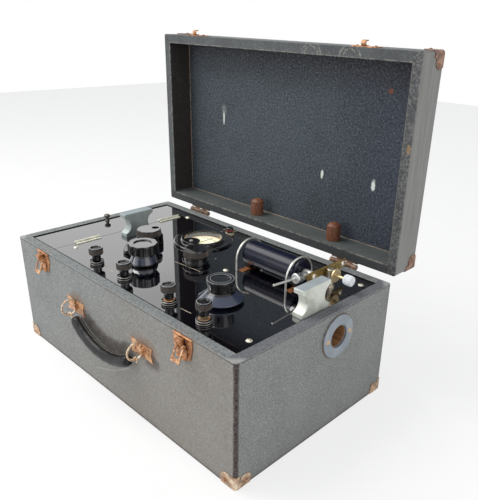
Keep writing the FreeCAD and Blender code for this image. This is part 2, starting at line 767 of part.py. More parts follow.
# Four binding terminals: base, stud with its nut, and a screwed head
def terminal_bases():
    out = []
    for x in TERM_X:
        ring = TBASE_RING
        profile = ((STUD_R + HOLE_PLAY, 0), (TBASE_R, 0), (TBASE_R, ring), (TBASE_R - 1.2, ring + 0.2),
                   (TBASE_R - 1.2, ring + 0.6), (TBASE_R - 0.3, ring + 0.8), (TBASE_R - 0.3, 2 * ring + 0.6),
                   (TBASE_R - 2.4, 2 * ring + 0.9), (TNECK_R, TBASE_H), (STUD_R + HOLE_PLAY, TBASE_H))
        out.append(lathe(profile, x, TERM_Y, ZP))
    return group(out)


def terminal_studs():
    out = []
    for x in TERM_X:
        rod = cyl(STUD_R, STUD_UP + STUD_DOWN, V(x, TERM_Y, ZP - STUD_DOWN))
        nut = hexagon(NUT_R, NUT_H, V(x, TERM_Y, ZU - NUT_H))
        seat = tube(STUD_R + HOLE_PLAY + 1, STUD_R, 0.3, V(x, TERM_Y, ZP + TBASE_H))
        out.append(fuse([rod, nut, seat]))
    return group(out)


def hexagon(radius, height, base):
    pts = [base + V(radius * math.cos(math.pi * k / 3), radius * math.sin(math.pi * k / 3), 0)
           for k in range(6)]
    return prism(pts, V(0, 0, height))


def terminal_head(i):
    x = TERM_X[i]
    z = ZP + TBASE_H + 0.3 + THEAD_GAP + TERM_LIFT[i]
    top = TNECK_H + THEAD_CHAMF + THEAD_H
    profile = ((0, 0), (TNECK_R, 0), (TNECK_R, TNECK_H - 1), (TNECK_R + 0.6, TNECK_H),
               (THEAD_R, TNECK_H + THEAD_CHAMF), (THEAD_R, top - 0.5), (THEAD_R - 0.5, top),
               (TCUP_R, top), (TCUP_R - 0.6, top - TCUP_D), (0, top - TCUP_D))
    body = lathe(profile, x, TERM_Y, z)
    return body.cut(cyl(STUD_R + RUN, TBORE_UP + 1, V(x, TERM_Y, z - 1)))


# Push button in its socket
def button_socket():
    x, y = BUTTON_X, BUTTON_Y
    barrel = cyl(SOCKET_R, SOCKET_DOWN, V(x, y, ZP - SOCKET_DOWN))
    collar = cyl(SOCKET_COLLAR_R, SOCKET_COLLAR_H, V(x, y, ZP))
    body = fuse([barrel, collar])
    hole = cyl(BUTTON_STEM_R + RUN, SOCKET_DOWN + SOCKET_COLLAR_H, V(x, y, ZP - SOCKET_DOWN + SOCKET_FLOOR))
    return body.cut(hole)


def button_cap():
    profile = ((0, -BUTTON_STEM_DOWN), (BUTTON_STEM_R, -BUTTON_STEM_DOWN), (BUTTON_STEM_R, BUTTON_CAP_Z),
               (BUTTON_R, BUTTON_CAP_Z), (BUTTON_R, BUTTON_TOP - 1.2), (BUTTON_R - 1.2, BUTTON_TOP),
               (0, BUTTON_TOP))
    return lathe(profile, BUTTON_X, BUTTON_Y, ZP)


# Coil on two copper saddles, held down by two wire bails
def coil_tube():
    z = ZP + TUBE_UP
    length = TUBE_X[1] - TUBE_X[0]
    body = tube(TUBE_R, CORE_R + TOUCH, length, V(TUBE_X[0], TUBE_Y, z), X_AXIS)
    ends = [e for e in body.Edges if abs(e.Length - 2 * math.pi * TUBE_R) < 0.01]
    return body.makeChamfer(0.8, ends)


def coil_core():
    length = TUBE_X[1] - TUBE_X[0] - 2 * CORE_SINK
    rod = cyl(CORE_R, length, V(TUBE_X[0] + CORE_SINK, TUBE_Y, ZP + TUBE_UP), X_AXIS)
    return rod


def saddle_strips():
    out = []
    for x in SADDLE_X:
        x0 = x - SADDLE_W / 2
        x1 = x + SADDLE_W / 2
        strip = box(x0, TUBE_Y - SADDLE_HALF, ZP, x1, TUBE_Y + SADDLE_HALF, ZP + SADDLE_T)
        rise = TUBE_UP - math.sqrt(TUBE_R ** 2 - CRADLE_HALF ** 2)
        cradle = box(x0, TUBE_Y - CRADLE_HALF, ZP, x1, TUBE_Y + CRADLE_HALF, ZP + rise)
        both = fuse([strip, cradle])
        out.append(both.cut(cyl(TUBE_R, SADDLE_W + 2, V(x0 - 1, TUBE_Y, ZP + TUBE_UP), X_AXIS)))
    return group(out)


def retaining_bails():
    out = []
    arc_z = ZP + BAIL_APEX - BAIL_HALF
    for x in BAIL_X:
        low = ZP - BAIL_DOWN
        legs = []
        for s in (-1, 1):
            at = V(x, TUBE_Y + s * BAIL_HALF, low)
            legs.append(cyl(BAIL_WIRE, arc_z - low, at))
            nut_at = V(x, TUBE_Y + s * BAIL_HALF, ZU - BAIL_NUT_H)
            legs.append(hexagon(BAIL_NUT_R, BAIL_NUT_H, nut_at))
        hoop = Part.makeTorus(BAIL_HALF, BAIL_WIRE, V(x, TUBE_Y, arc_z), X_AXIS)
        big = BAIL_HALF + 5
        upper = box(x - 5, TUBE_Y - big, arc_z, x + 5, TUBE_Y + big, arc_z + big)
        out.append(fuse([hoop.common(upper)] + legs))
    return group(out)


# Post, pivoting arm, clamp screw, chuck and rod
def arm_post():
    body = cyl(POST_R, POST_H, V(POST_X, POST_Y, ZP))
    nut = hexagon(POST_NUT_R, POST_NUT_H, V(POST_X, POST_Y, ZP))
    stud = cyl(POST_STUD_R, PANEL_T + 9, V(POST_X, POST_Y, ZU - 9))
    under = hexagon(NUT_R, NUT_H, V(POST_X, POST_Y, ZU - NUT_H))
    body = fuse([body, nut, stud, under])
    top = [e for e in body.Edges if abs(e.Length - 2 * math.pi * POST_R) < 0.01
           and e.CenterOfMass.z > ZP + POST_H - 0.01]
    body = body.makeChamfer(0.8, top)
    bore = cyl(CLAMP_R + RUN, 4 * POST_R, V(POST_X - 2 * POST_R, POST_Y, ZP + CLAMP_UP), X_AXIS)
    return body.cut(bore)


def arm_strip():
    z0 = ZP + STRIP_Z0
    body = box(STRIP_X0, STRIP_Y0, z0, STRIP_X1, STRIP_Y1, z0 + STRIP_H)
    bore = cyl(CLAMP_R + RUN, STRIP_T + 2, V(STRIP_X0 - 1, POST_Y, ZP + CLAMP_UP), X_AXIS)
    body = body.cut(bore)
    mid = z0 + STRIP_H / 2
    rear = dome(STRIP_SCREW_R, STRIP_SCREW_H, V(STRIP_X1, STRIP_SCREW_Y, mid), X_AXIS)
    front = dome(STRIP_SCREW_R, STRIP_SCREW_H, V(STRIP_X1, HUB_Y, mid + HUB_UP), X_AXIS)
    return fuse([body, rear, front])


def hub_height():
    return ZP + STRIP_Z0 + STRIP_H / 2 + HUB_UP


def tilted(shape):
    shape.rotate(V(CHUCK_X, HUB_Y, hub_height()), X_AXIS, -ROD_TILT)
    return shape


def chuck_hub():
    z = hub_height()
    hub = cyl(HUB_R, STRIP_X0 - HUB_X0, V(HUB_X0, HUB_Y, z), X_AXIS)
    neck_y = HUB_Y - HUB_R - CHUCK_L + 2
    neck = cyl(CHUCK_R, HUB_Y - neck_y, V(CHUCK_X, neck_y, z), Y_AXIS)
    stem_y = neck_y - NUT_LEN + 2
    stem = cyl(STEM_R, neck_y - stem_y, V(CHUCK_X, stem_y, z), Y_AXIS)
    turned = fuse([neck, stem]).cut(cyl(ROD_R + TOUCH, ROD_GRIP + 0.5, V(CHUCK_X, stem_y - 0.5, z), Y_AXIS))
    return fuse([hub, tilted(turned)])


def chuck_nut():
    z = hub_height()
    neck_y = HUB_Y - HUB_R - CHUCK_L + 2
    y0 = neck_y - GAP - NUT_LEN
    body = cyl(CHUCK_NUT_R, NUT_LEN, V(CHUCK_X, y0, z), Y_AXIS)
    ends = [e for e in body.Edges if abs(e.Length - 2 * math.pi * CHUCK_NUT_R) < 0.01]
    body = body.makeChamfer(1.0, ends)
    stem_y = neck_y - NUT_LEN + 2
    inner = cyl(STEM_R + RUN, NUT_LEN, V(CHUCK_X, stem_y - CHUCK_END_GAP, z), Y_AXIS)
    return tilted(body.cut(inner).cut(cyl(ROD_R + HOLE_PLAY, NUT_LEN, V(CHUCK_X, y0 - 1, z), Y_AXIS)))


def probe_rod():
    z = hub_height()
    neck_y = HUB_Y - HUB_R - CHUCK_L + 2
    stem_y = neck_y - NUT_LEN + 2
    end = stem_y + ROD_GRIP
    rod = cyl(ROD_R, end - ROD_TIP_Y, V(CHUCK_X, ROD_TIP_Y, z), Y_AXIS)
    tip = [e for e in rod.Edges if e.CenterOfMass.y < ROD_TIP_Y + 0.01]
    return tilted(rod.makeChamfer(ROD_R / 3, tip))


def clamp_screw():
    z = ZP + CLAMP_UP
    x0 = STRIP_X0 - GAP - CLAMP_HEAD_T
    rod = cyl(CLAMP_R, THUMB_X - x0, V(x0, POST_Y, z), X_AXIS)
    head = cyl(CLAMP_HEAD_R, CLAMP_HEAD_T, V(x0, POST_Y, z), X_AXIS)
    disc = cyl(DISC_R, DISC_T, V(DISC_X, POST_Y, z), X_AXIS)
    thumb = cyl(THUMB_R, THUMB_L, V(THUMB_X, POST_Y, z), X_AXIS)
    return fuse([rod, head, disc, thumb])


# Waisted blocks that stand on the panel
def pedestals():
    out = []
    for x in PED_X:
        y0 = PED_Y - PED_L / 2
        body = box(x - PED_W / 2, y0, ZP, x + PED_W / 2, y0 + PED_L, ZP + PED_H)
        span = PED_H - 2 * PED_PLATE
        scoop_r = (span * span / 4 + PED_SCOOP * PED_SCOOP) / (2 * PED_SCOOP)
        mid = ZP + PED_H / 2
        for s in (-1, 1):
            at = V(x - PED_W, PED_Y + s * (PED_L / 2 - PED_SCOOP + scoop_r), mid)
            body = body.cut(cyl(scoop_r, 2 * PED_W, at, X_AXIS))
        parts = [body]
        for s in (-1, 1):
            parts.append(cyl(SCREW_R, PANEL_T + CLEAT_H - 1, V(x, PED_Y + s * PED_L / 4, ZU - CLEAT_H + 1)))
        out.append(fuse(parts))
    return group(out)


def resistance_bobbins():
    out = []
    profile = ((0, -BOBBIN_L), (BOBBIN_R, -BOBBIN_L), (BOBBIN_R, BOBBIN_CHEEK - BOBBIN_L),
               (BOBBIN_CORE_R, BOBBIN_CHEEK - BOBBIN_L), (BOBBIN_CORE_R, -BOBBIN_CHEEK),
               (BOBBIN_R, -BOBBIN_CHEEK), (BOBBIN_R, 0), (0, 0))
    for x in BOBBIN_X:
        for y in BOBBIN_Y:
            out.append(lathe(profile, x, y, ZU))
    return group(out)


# Lid, drawn closed and then turned up about its hinge pins
def lid_shell(caps):
    body = rounded_box(-RIGHT_X, FRONT_Y, LID_Z0, RIGHT_X, BACK_Y, LID_Z1, EDGE_R)
    in_x = RIGHT_X - LID_WALL
    in_y = BACK_Y - LID_WALL
    body = body.cut(box(-in_x, -in_y, LID_Z0 - 1, in_x, in_y, LID_Z1 - LID_BOARD))
    return body.cut(caps)


def lid_pegs():
    out = []
    y = BACK_Y - LID_WALL
    z = LID_Z0 + PEG_UP - RIM_GAP
    for x in PEG_X:
        rod = cyl(PEG_R, PEG_L - 4, V(x, y, z), -Y_AXIS)
        cap = dome(PEG_R, 4, V(x, y - PEG_L + 4, z), -Y_AXIS)
        out.append(fuse([rod, cap]))
    return group(out)


def lid_catches():
    out = []
    y0 = FRONT_Y
    z0 = HOOK_Z - HOOK_R - HOOK_T
    for x in LATCH_X:
        plate = box(x - CATCH_W / 2, y0 - LATCH_T, z0 + 0.6, x + CATCH_W / 2, y0, z0 + 0.6 + CATCH_H)
        at = V(x - HOOK_W / 2, LOOP_Y, HOOK_Z)
        ring = tube(HOOK_R + HOOK_T, HOOK_R, HOOK_W, at, X_AXIS)
        big = HOOK_R + HOOK_T + 1
        low = box(x - HOOK_W, LOOP_Y - big, HOOK_Z - big, x + HOOK_W, LOOP_Y + big, HOOK_Z)
        trough = ring.common(low)
        lip = box(x - HOOK_W / 2, LOOP_Y - HOOK_R - HOOK_T, HOOK_Z, x + HOOK_W / 2, LOOP_Y - HOOK_R,
                  HOOK_Z + HOOK_LIP)
        back = box(x - HOOK_W / 2, LOOP_Y + HOOK_R, HOOK_Z, x + HOOK_W / 2, y0, HOOK_Z + 3)
        nails = []
        for s in (-1, 1):
            nail = V(x + s * (CATCH_W / 2 - 4), y0 - LATCH_T, z0 + 0.6 + CATCH_H * 0.45)
            nails.append(dome(NAIL_R, NAIL_H, nail, -Y_AXIS))
        out.append(fuse([plate, trough, lip, back] + nails))
    return group(out)


# Draw latch: plate with a lug, lever on the lug, stirrup loop on the lever
def latch_plate(x):
    top = CASE_H - 2.0
    y = FRONT_Y
    half = LATCH_W / 2
    tail = LATCH_TAIL_W / 2
    pts = [V(x - half, y, top), V(x + half, y, top), V(x + half, y, top - LATCH_H / 2),
           V(x + tail, y, top - LATCH_H), V(x - tail, y, top - LATCH_H), V(x - half, y, top - LATCH_H / 2)]
    plate = prism(pts, V(0, -LATCH_T, 0))
    roll = cyl(1.1, LATCH_W, V(x - half, y - 1.1, top - 1.1), X_AXIS)
    arm = box(x - LUG_W / 2, PIVOT_Y, PIVOT_Z - LUG_R, x + LUG_W / 2, y, PIVOT_Z + LUG_R)
    lug = cyl(LUG_R, LUG_W, V(x - LUG_W / 2, PIVOT_Y, PIVOT_Z), X_AXIS)
    reach = LUG_W / 2 + EAR_GAP + EAR_T + 0.2
    pin = cyl(PIVOT_R, 2 * reach, V(x - reach, PIVOT_Y, PIVOT_Z), X_AXIS)
    nails = []
    for s in (-1, 1):
        for z in (top - 6, top - LATCH_H + 5):
            nails.append(dome(NAIL_R - 0.6, NAIL_H, V(x + s * (tail - 1.2), y - LATCH_T, z), -Y_AXIS))
    return fuse([plate, roll, arm, lug, pin] + nails)


def latch_lever(x):
    in_x = LUG_W / 2 + EAR_GAP
    web_y1 = FRONT_Y - LATCH_T - 0.8
    web_y0 = web_y1 - EAR_T
    tab_top = LOOP_Z - LOOP_EYE_R - 0.7
    tab_z = PIVOT_Z - LEVER_L
    parts = []
    for s in (-1, 1):
        ex = x + s * in_x if s > 0 else x - in_x - EAR_T
        at = V(ex, PIVOT_Y, PIVOT_Z)
        eye = cyl(LUG_R, EAR_T, at, X_AXIS)
        low = cyl(LUG_R - 0.4, EAR_T, V(ex, LOOP_Y, LOOP_Z), X_AXIS)
        pts = [V(ex, PIVOT_Y - LUG_R, PIVOT_Z), V(ex, PIVOT_Y + LUG_R, PIVOT_Z),
               V(ex, LOOP_Y + LUG_R - 0.4, LOOP_Z), V(ex, web_y1, tab_top - 1),
               V(ex, web_y0, tab_top - 3), V(ex, LOOP_Y - LUG_R + 0.4, LOOP_Z)]
        ear = prism(pts, V(EAR_T, 0, 0))
        stub_x = x + s * (in_x + EAR_T)
        stub = cyl(LOOP_PIN_R, EAR_GAP + LOOP_ARM_W + 0.4, V(stub_x, LOOP_Y, LOOP_Z), X_AXIS * s)
        parts.append(fuse([eye, low, ear]).cut(cyl(PIVOT_R + RUN, EAR_T, at, X_AXIS)))
        parts.append(stub)
    narrow = in_x + EAR_T
    half = LEVER_TAB_W / 2
    parts.append(box(x - narrow, web_y0, tab_z + 2, x + narrow, web_y1, LOOP_Z - 1))
    parts.append(box(x - half, web_y0, tab_z, x + half, web_y1, tab_top))
    for s in (-1, 1):
        roll_x = x + s * (half - 3)
        parts.append(cyl(1.1, 6.0, V(roll_x - 3, web_y0 - 0.3, tab_z + 1), X_AXIS))
    return fuse(parts)


def latch_loop(x):
    in_x = LUG_W / 2 + 2 * EAR_GAP + EAR_T
    parts = []
    for s in (-1, 1):
        ax = x + in_x if s > 0 else x - in_x - LOOP_ARM_W
        at = V(ax, LOOP_Y, LOOP_Z)
        eye = cyl(LOOP_EYE_R, LOOP_ARM_W, at, X_AXIS)
        arm = box(ax, LOOP_Y - LOOP_T / 2, LOOP_Z - LOOP_L, ax + LOOP_ARM_W, LOOP_Y + LOOP_T / 2, LOOP_Z)
        parts.append(fuse([eye, arm]).cut(cyl(LOOP_PIN_R + RUN, LOOP_ARM_W, at, X_AXIS)))
    half = in_x + LOOP_ARM_W
    parts.append(box(x - half, LOOP_Y - LOOP_T / 2, LOOP_Z - LOOP_L, x + half, LOOP_Y + LOOP_T / 2,
                     LOOP_Z - LOOP_L + LOOP_BAR_W))
    body = fuse(parts)
    body.rotate(V(0, LOOP_Y, LOOP_Z), X_AXIS, -LOOP_REST)
    return body


# Handle: nailed plates with a bridge, two D-shaped rings, and a leather grip
def handle_plate(x):
    y = FRONT_Y
    z = HANDLE_Z
    w = HPLATE_W / 2
    h = HPLATE_H / 2
    d = HPLATE_DIP
    pts = [V(x - w, y, z + h), V(x, y, z + h - d / 2), V(x + w, y, z + h), V(x + w - d, y, z),
           V(x + w, y, z - h), V(x, y, z - h + d / 2), V(x - w, y, z - h), V(x - w + d, y, z)]
    plate = prism(pts, V(0, -HPLATE_T, 0))
    in_y = y - HPLATE_T - 2 * RING_WIRE
    out_y = in_y - BRIDGE_T
    bridge = box(x - BRIDGE_W / 2, out_y, RING_Z - BRIDGE_Z / 2, x + BRIDGE_W / 2, y, RING_Z + BRIDGE_Z / 2)
    tunnel = box(x - TUNNEL_W / 2, in_y, RING_Z - BRIDGE_Z, x + TUNNEL_W / 2, y - HPLATE_T,
                 RING_Z + BRIDGE_Z)
    body = fuse([plate, bridge]).cut(tunnel)
    nails = [dome(NAIL_R, NAIL_H, V(x + s * NAIL_DX, y - HPLATE_T, z), -Y_AXIS) for s in (-1, 1)]
    return fuse([body] + nails)


# D-shaped rings: the straight side lies in the plate's bridge, the arc carries the grip
def handle_rings():
    out = []
    inner_y = FRONT_Y - HPLATE_T
    for x in HANDLE_X:
        at = V(x - RING_WIRE, RING_Y, RING_Z)
        big = 2 * RING_R
        arc = cyl(RING_R + RING_WIRE, 2 * RING_WIRE, at, X_AXIS)
        arc = arc.common(box(x - big, RING_Y - big, RING_Z - big, x + big, inner_y, RING_Z + big))
        hollow = cyl(RING_R - RING_WIRE, 2 * RING_WIRE, at, X_AXIS)
        bar_y = inner_y - 2 * RING_WIRE
        hollow = hollow.common(box(x - big, RING_Y - big, RING_Z - big, x + big, bar_y, RING_Z + big))
        out.append(arc.cut(hollow))
    return group(out)


def handle_grip():
    eye_z = RING_Z - RING_R
    x0 = HANDLE_X[0] + GRIP_END[0]
    x1 = HANDLE_X[1] - GRIP_END[1]
    z0 = eye_z - GRIP_DROP[0]
    z1 = eye_z - GRIP_DROP[1]
    start = V(x0, RING_Y, z0)
    middle = V((x0 + x1) / 2, RING_Y - GRIP_OUT, (z0 + z1) / 2 - GRIP_SAG)
    end = V(x1, RING_Y, z1)
    arc = Part.Arc(start, middle, end).toShape()
    along = arc.tangentAt(arc.FirstParameter)
    ring = Part.Wire([Part.makeCircle(GRIP_R, start, along)])
    grip = Part.Wire([arc]).makePipeShell([ring], True, False)
    parts = [grip]
    y0 = RING_Y - EYE_W / 2
    for x, gx, gz, s in ((HANDLE_X[0], x0, z0, 1), (HANDLE_X[1], x1, z1, -1)):
        parts.append(tube(EYE_R + EYE_T, EYE_R, EYE_W, V(x, y0, eye_z), Y_AXIS))
        foot = x + s * (EYE_R + EYE_T / 2)
        reach = gx + s * 3
        pts = [V(foot, y0, eye_z + 1.4), V(foot, y0, eye_z - 2.2), V(reach, y0, gz - 3),
               V(reach, y0, gz + 2)]
        parts.append(prism(pts, V(0, EYE_W, 0)))
    return fuse(parts)


# Lid hinges: leaf, knuckles and the pin that stays with the base
def lid_hinge(x, on_base):
    lo = x - HINGE_L / 2
    step = HINGE_L / KNUCKLES
    side = -1 if on_base else 1
    face = BACK_Y
    edge = PIN_Z + side * (GAP + 0.4)
    far = edge + side * LEAF_H
    parts = [box(lo, face, min(edge, far), lo + HINGE_L, face + LEAF_T, max(edge, far))]
    for k in range(KNUCKLES):
        if (k % 2 == 0) != on_base:
            continue
        k0 = lo + k * step + (GAP / 2 if k else 0)
        k1 = lo + (k + 1) * step - (GAP / 2 if k < KNUCKLES - 1 else 0)
        parts.append(cyl(BARREL_R, k1 - k0, V(k0, PIN_Y, PIN_Z), X_AXIS))
        web_z = PIN_Z + side * BARREL_R
        parts.append(box(k0, face, min(edge, web_z), k1, PIN_Y, max(edge, web_z)))
    body = fuse(parts)
    pin = cyl(HINGE_PIN_R, HINGE_L, V(lo, PIN_Y, PIN_Z), X_AXIS)
    if on_base:
        return body.fuse(pin).removeSplitter()
    return body.cut(cyl(HINGE_PIN_R + RUN, HINGE_L, V(lo, PIN_Y, PIN_Z), X_AXIS))


def lid_hinges(on_base):
    return group([lid_hinge(s * HINGE_X, on_base) for s in (-1, 1)])


base_caps = group(corner_caps(0, 1, CAP_FRONT, CAP_SIDE, CAP_H))
lid_caps = group(corner_caps(LID_Z1, -1, LID_CAP, LID_CAP, LID_CAP))

save("base_case", base_case(base_caps))
save("base_corner_caps", base_caps)
save("port_flange", port_flange())
save("inner_woodwork", inner_woodwork())
save("panel", panel())
save("panel_screws", panel_screws())
save("panel_hinge_leaves", cover_hinges(True))
save("meter_case", meter_case())
save("meter_glass", meter_glass())
save("meter_dial", meter_dial())
save("meter_needle", meter_needle())
save("zero_adjuster", zero_adjuster())
save("switch_decks", switch_decks())
save("resistance_bobbins", resistance_bobbins())
save("terminal_bases", terminal_bases())
save("terminal_studs", terminal_studs())
for number in range(len(TERM_X)):
    save("terminal_head_" + str(number + 1), terminal_head(number))
save("button_socket", button_socket())
save("button_cap", button_cap())
save("coil_tube", coil_tube())
save("coil_core", coil_core())
save("saddle_strips", saddle_strips())
save("retaining_bails", retaining_bails())
save("arm_post", arm_post())
save("arm_strip", arm_strip())
save("chuck_hub", chuck_hub())
save("chuck_nut", chuck_nut())
save("probe_rod", probe_rod())
save("clamp_screw", clamp_screw())
save("pedestals", pedestals())
save("knob_lever", knob_lever())
save("knob_fluted", knob_fluted())
save("knob_knurled", knob_knurled())
save("knob_skirted", knob_skirted())
for name, spot in zip(("lever", "fluted", "knurled", "skirted"), knob_spots()):
    save("rotor_" + name, rotor(spot[0], spot[1]))
save("compartment_cover", compartment_cover())
save("cover_hinge_leaves", cover_hinges(False))
save("cover_knob", cover_knob())
save("lid_shell", lid_open(lid_shell(lid_caps)))
save("lid_pegs", lid_open(lid_pegs()))
save("lid_corner_caps", lid_open(lid_caps))
save("lid_catches", lid_open(lid_catches()))
save("hinge_leaves_lid", lid_open(lid_hinges(False)))
save("hinge_leaves_base", lid_hinges(True))
save("latch_plates", group([latch_plate(x) for x in LATCH_X]))
for side_name, spot in zip(("left", "right"), LATCH_X):
    save("latch_lever_" + side_name, latch_lever(spot))
    save("latch_loop_" + side_name, latch_loop(spot))
save("handle_plates", group([handle_plate(x) for x in HANDLE_X]))
save("handle_rings", handle_rings())
save("handle_grip", handle_grip())
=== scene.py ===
import bmesh
import bpy
import json
import math
from mathutils import Matrix, Vector

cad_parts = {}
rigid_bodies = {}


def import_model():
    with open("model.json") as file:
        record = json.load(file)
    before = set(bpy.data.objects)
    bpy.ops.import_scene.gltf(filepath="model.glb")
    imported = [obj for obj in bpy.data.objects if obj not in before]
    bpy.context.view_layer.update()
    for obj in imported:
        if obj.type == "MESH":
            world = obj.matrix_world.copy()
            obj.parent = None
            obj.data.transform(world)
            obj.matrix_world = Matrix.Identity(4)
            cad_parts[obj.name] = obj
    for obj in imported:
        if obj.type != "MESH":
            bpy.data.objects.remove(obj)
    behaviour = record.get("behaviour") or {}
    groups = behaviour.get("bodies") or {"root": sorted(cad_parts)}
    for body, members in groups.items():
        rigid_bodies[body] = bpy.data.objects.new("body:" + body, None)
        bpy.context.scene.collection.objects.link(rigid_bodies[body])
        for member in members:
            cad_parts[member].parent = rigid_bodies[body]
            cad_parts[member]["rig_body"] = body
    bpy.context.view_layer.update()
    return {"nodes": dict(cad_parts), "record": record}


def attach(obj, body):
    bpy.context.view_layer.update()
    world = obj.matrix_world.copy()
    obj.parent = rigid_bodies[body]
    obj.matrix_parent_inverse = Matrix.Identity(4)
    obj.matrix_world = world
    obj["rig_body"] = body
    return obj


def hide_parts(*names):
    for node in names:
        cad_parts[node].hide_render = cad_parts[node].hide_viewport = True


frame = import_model()

# Stage: a pale table top under a soft box, with weaker lamps at the front and on the right.
# The camera stands where the photograph was taken, a little above the open case.
MM = 0.001


def tone(red, green, blue):
    """A colour from its screen values of 0 to 255."""
    linear = [c / 12.92 if c < 0.04 else ((c + 0.055) / 1.055) ** 2.4
              for c in (red / 255, green / 255, blue / 255)]
    return (*linear, 1.0)


def add_node(tree, kind, settings, values):
    """A node with its settings made first, then its sockets linked or filled."""
    made = tree.nodes.new(kind)
    for name, setting in settings.items():
        setattr(made, name, setting)
    for key, value in values.items():
        value = getattr(value, "out", value)
        if isinstance(value, bpy.types.NodeSocket):
            tree.links.new(value, made.inputs[key])
        else:
            made.inputs[key].default_value = value
    return made


def operator(kind, swapped=False):
    """The Math node of this kind, as a method of Value."""
    if swapped:
        return lambda self, other: self.math(kind, other, self)
    return lambda self, other: self.math(kind, self, other)


class Value:
    """One number of a finish. Ordinary arithmetic on it adds the Math nodes."""

    __add__ = __radd__ = operator("ADD")
    __sub__ = operator("SUBTRACT")
    __rsub__ = operator("SUBTRACT", swapped=True)
    __mul__ = __rmul__ = operator("MULTIPLY")
    __truediv__ = operator("DIVIDE")
    __pow__ = operator("POWER")
    least = operator("MINIMUM")
    most = operator("MAXIMUM")

    def __init__(self, finish, out):
        self.finish = finish
        self.out = out

    def __abs__(self):
        return self.math("ABSOLUTE", self)

    def math(self, kind, *terms):
        node = self.finish.node("ShaderNodeMath", {"operation": kind}, dict(enumerate(terms)))
        return Value(self.finish, node.outputs[0])

    def fade(self, low, high):
        """0 at low and 1 at high, with a soft step between."""
        falls = low > high
        ends = {1: min(low, high), 2: max(low, high), 3: float(falls), 4: float(not falls)}
        step = {"interpolation_type": "SMOOTHSTEP"}
        node = self.finish.node("ShaderNodeMapRange", step, {0: self, **ends})
        return Value(self.finish, node.outputs[0])


class Finish:
    """One material: a principled shader and whatever feeds it."""

    def __init__(self, name, **plain):
        self.material = bpy.data.materials.new(name)
        self.material.use_nodes = True
        self.tree = self.material.node_tree
        self.tree.nodes.clear()
        self.shader = self.node("ShaderNodeBsdfPrincipled", {}, {})
        self.end = self.node("ShaderNodeOutputMaterial", {}, {"Surface": self.shader.outputs[0]})
        self.place = self.node("ShaderNodeTexCoord", {}, {}).outputs["Object"]
        split = self.node("ShaderNodeSeparateXYZ", {}, {0: self.place})
        self.x, self.y, self.z = (Value(self, out) for out in split.outputs)
        for socket, amount in plain.items():
            self.shader.inputs[socket.replace("_", " ")].default_value = amount

    def node(self, kind, settings, values):
        return add_node(self.tree, kind, settings, values)

    def ramp(self, value, *stops):
        made = self.node("ShaderNodeValToRGB", {}, {0: value})
        strip = made.color_ramp.elements
        while len(strip) < len(stops):
            strip.new(0.5)
        for part, (at, colour) in zip(strip, stops):
            part.position = at
            part.color = colour
        return made.outputs[0]

    def mix(self, share, first, second):
        made = self.node("ShaderNodeMix", {"data_type": "RGBA"}, {0: share, 6: first, 7: second})
        return made.outputs[2]

    def coats(self, under, *layers):
        """Lays colours over one another, each by its share."""
        for share, colour in layers:
            under = self.mix(share, under, colour)
        return under

    def noise(self, size, detail=3.0, rough=0.55, stretch=(1, 1, 1), shift=(0, 0, 0)):
        """Cloudy noise with features about size millimetres across."""
        moved = self.node("ShaderNodeVectorMath", {"operation": "MULTIPLY_ADD"},
                          {0: self.place, 1: stretch, 2: shift}).outputs[0]
        made = self.node("ShaderNodeTexNoise", {}, {
            "Vector": moved, "Scale": 1 / (size * MM), "Detail": detail, "Roughness": rough})
        return Value(self, made.outputs[0])

    def cells(self, size):
        """Round cells about size millimetres across."""
        values = {"Vector": self.place, "Scale": 1 / (size * MM)}
        made = self.node("ShaderNodeTexVoronoi", {"feature": "F1"}, values)
        return Value(self, made.outputs["Distance"])

    def near(self, centre, reach):
        """Distance from a point, counted in the given reach along each axis; 0 leaves an axis out."""
        axes = zip((self.x, self.y, self.z), centre, reach)
        first, *others = [((axis - c) / r) ** 2.0 for axis, c, r in axes if r]
        return sum(others, first) ** 0.5

    def paint(self, **links):
        for socket, value in links.items():
            socket = self.shader.inputs[socket.replace("_", " ")]
            self.tree.links.new(getattr(value, "out", value), socket)
        return self

    def relief(self, height, depth, under=None):
        """A bump of depth millimetres, on top of another one if given."""
        values = {"Height": height, "Distance": depth * MM}
        if under is not None:
            values["Normal"] = under
        return self.node("ShaderNodeBump", {}, values).outputs[0]


def mottled(name, grain, dark, light, ends=(0.3, 0.7), **plain):
    """A finish that wanders between two tones; grain is the noise's size, detail and roughness."""
    made = Finish(name, **plain)
    tones = made.ramp(made.noise(*grain), (ends[0], tone(*dark)), (ends[1], tone(*light)))
    return made.paint(Base_Color=tones)


TABLE_GLOW = 0.72
table_finish = mottled("pale_table", (60, 4), (236, 236, 234), (242, 242, 240), Roughness=0.9)
camera_ray = table_finish.node("ShaderNodeLightPath", {}, {}).outputs["Is Camera Ray"]
glow = table_finish.node("ShaderNodeEmission", {}, {0: (1, 1, 1, 1), 1: 1.0})
blend = table_finish.node("ShaderNodeMixShader", {}, {
    0: Value(table_finish, camera_ray) * TABLE_GLOW, 1: table_finish.shader.outputs[0], 2: glow.outputs[0]})
table_finish.tree.links.new(blend.outputs[0], table_finish.end.inputs[0])
bpy.ops.mesh.primitive_plane_add(size=6.0, location=(0, 0, -0.5 * MM))
table_top = bpy.context.object
table_top.name = "table_top"
table_top.data.materials.append(table_finish.material)

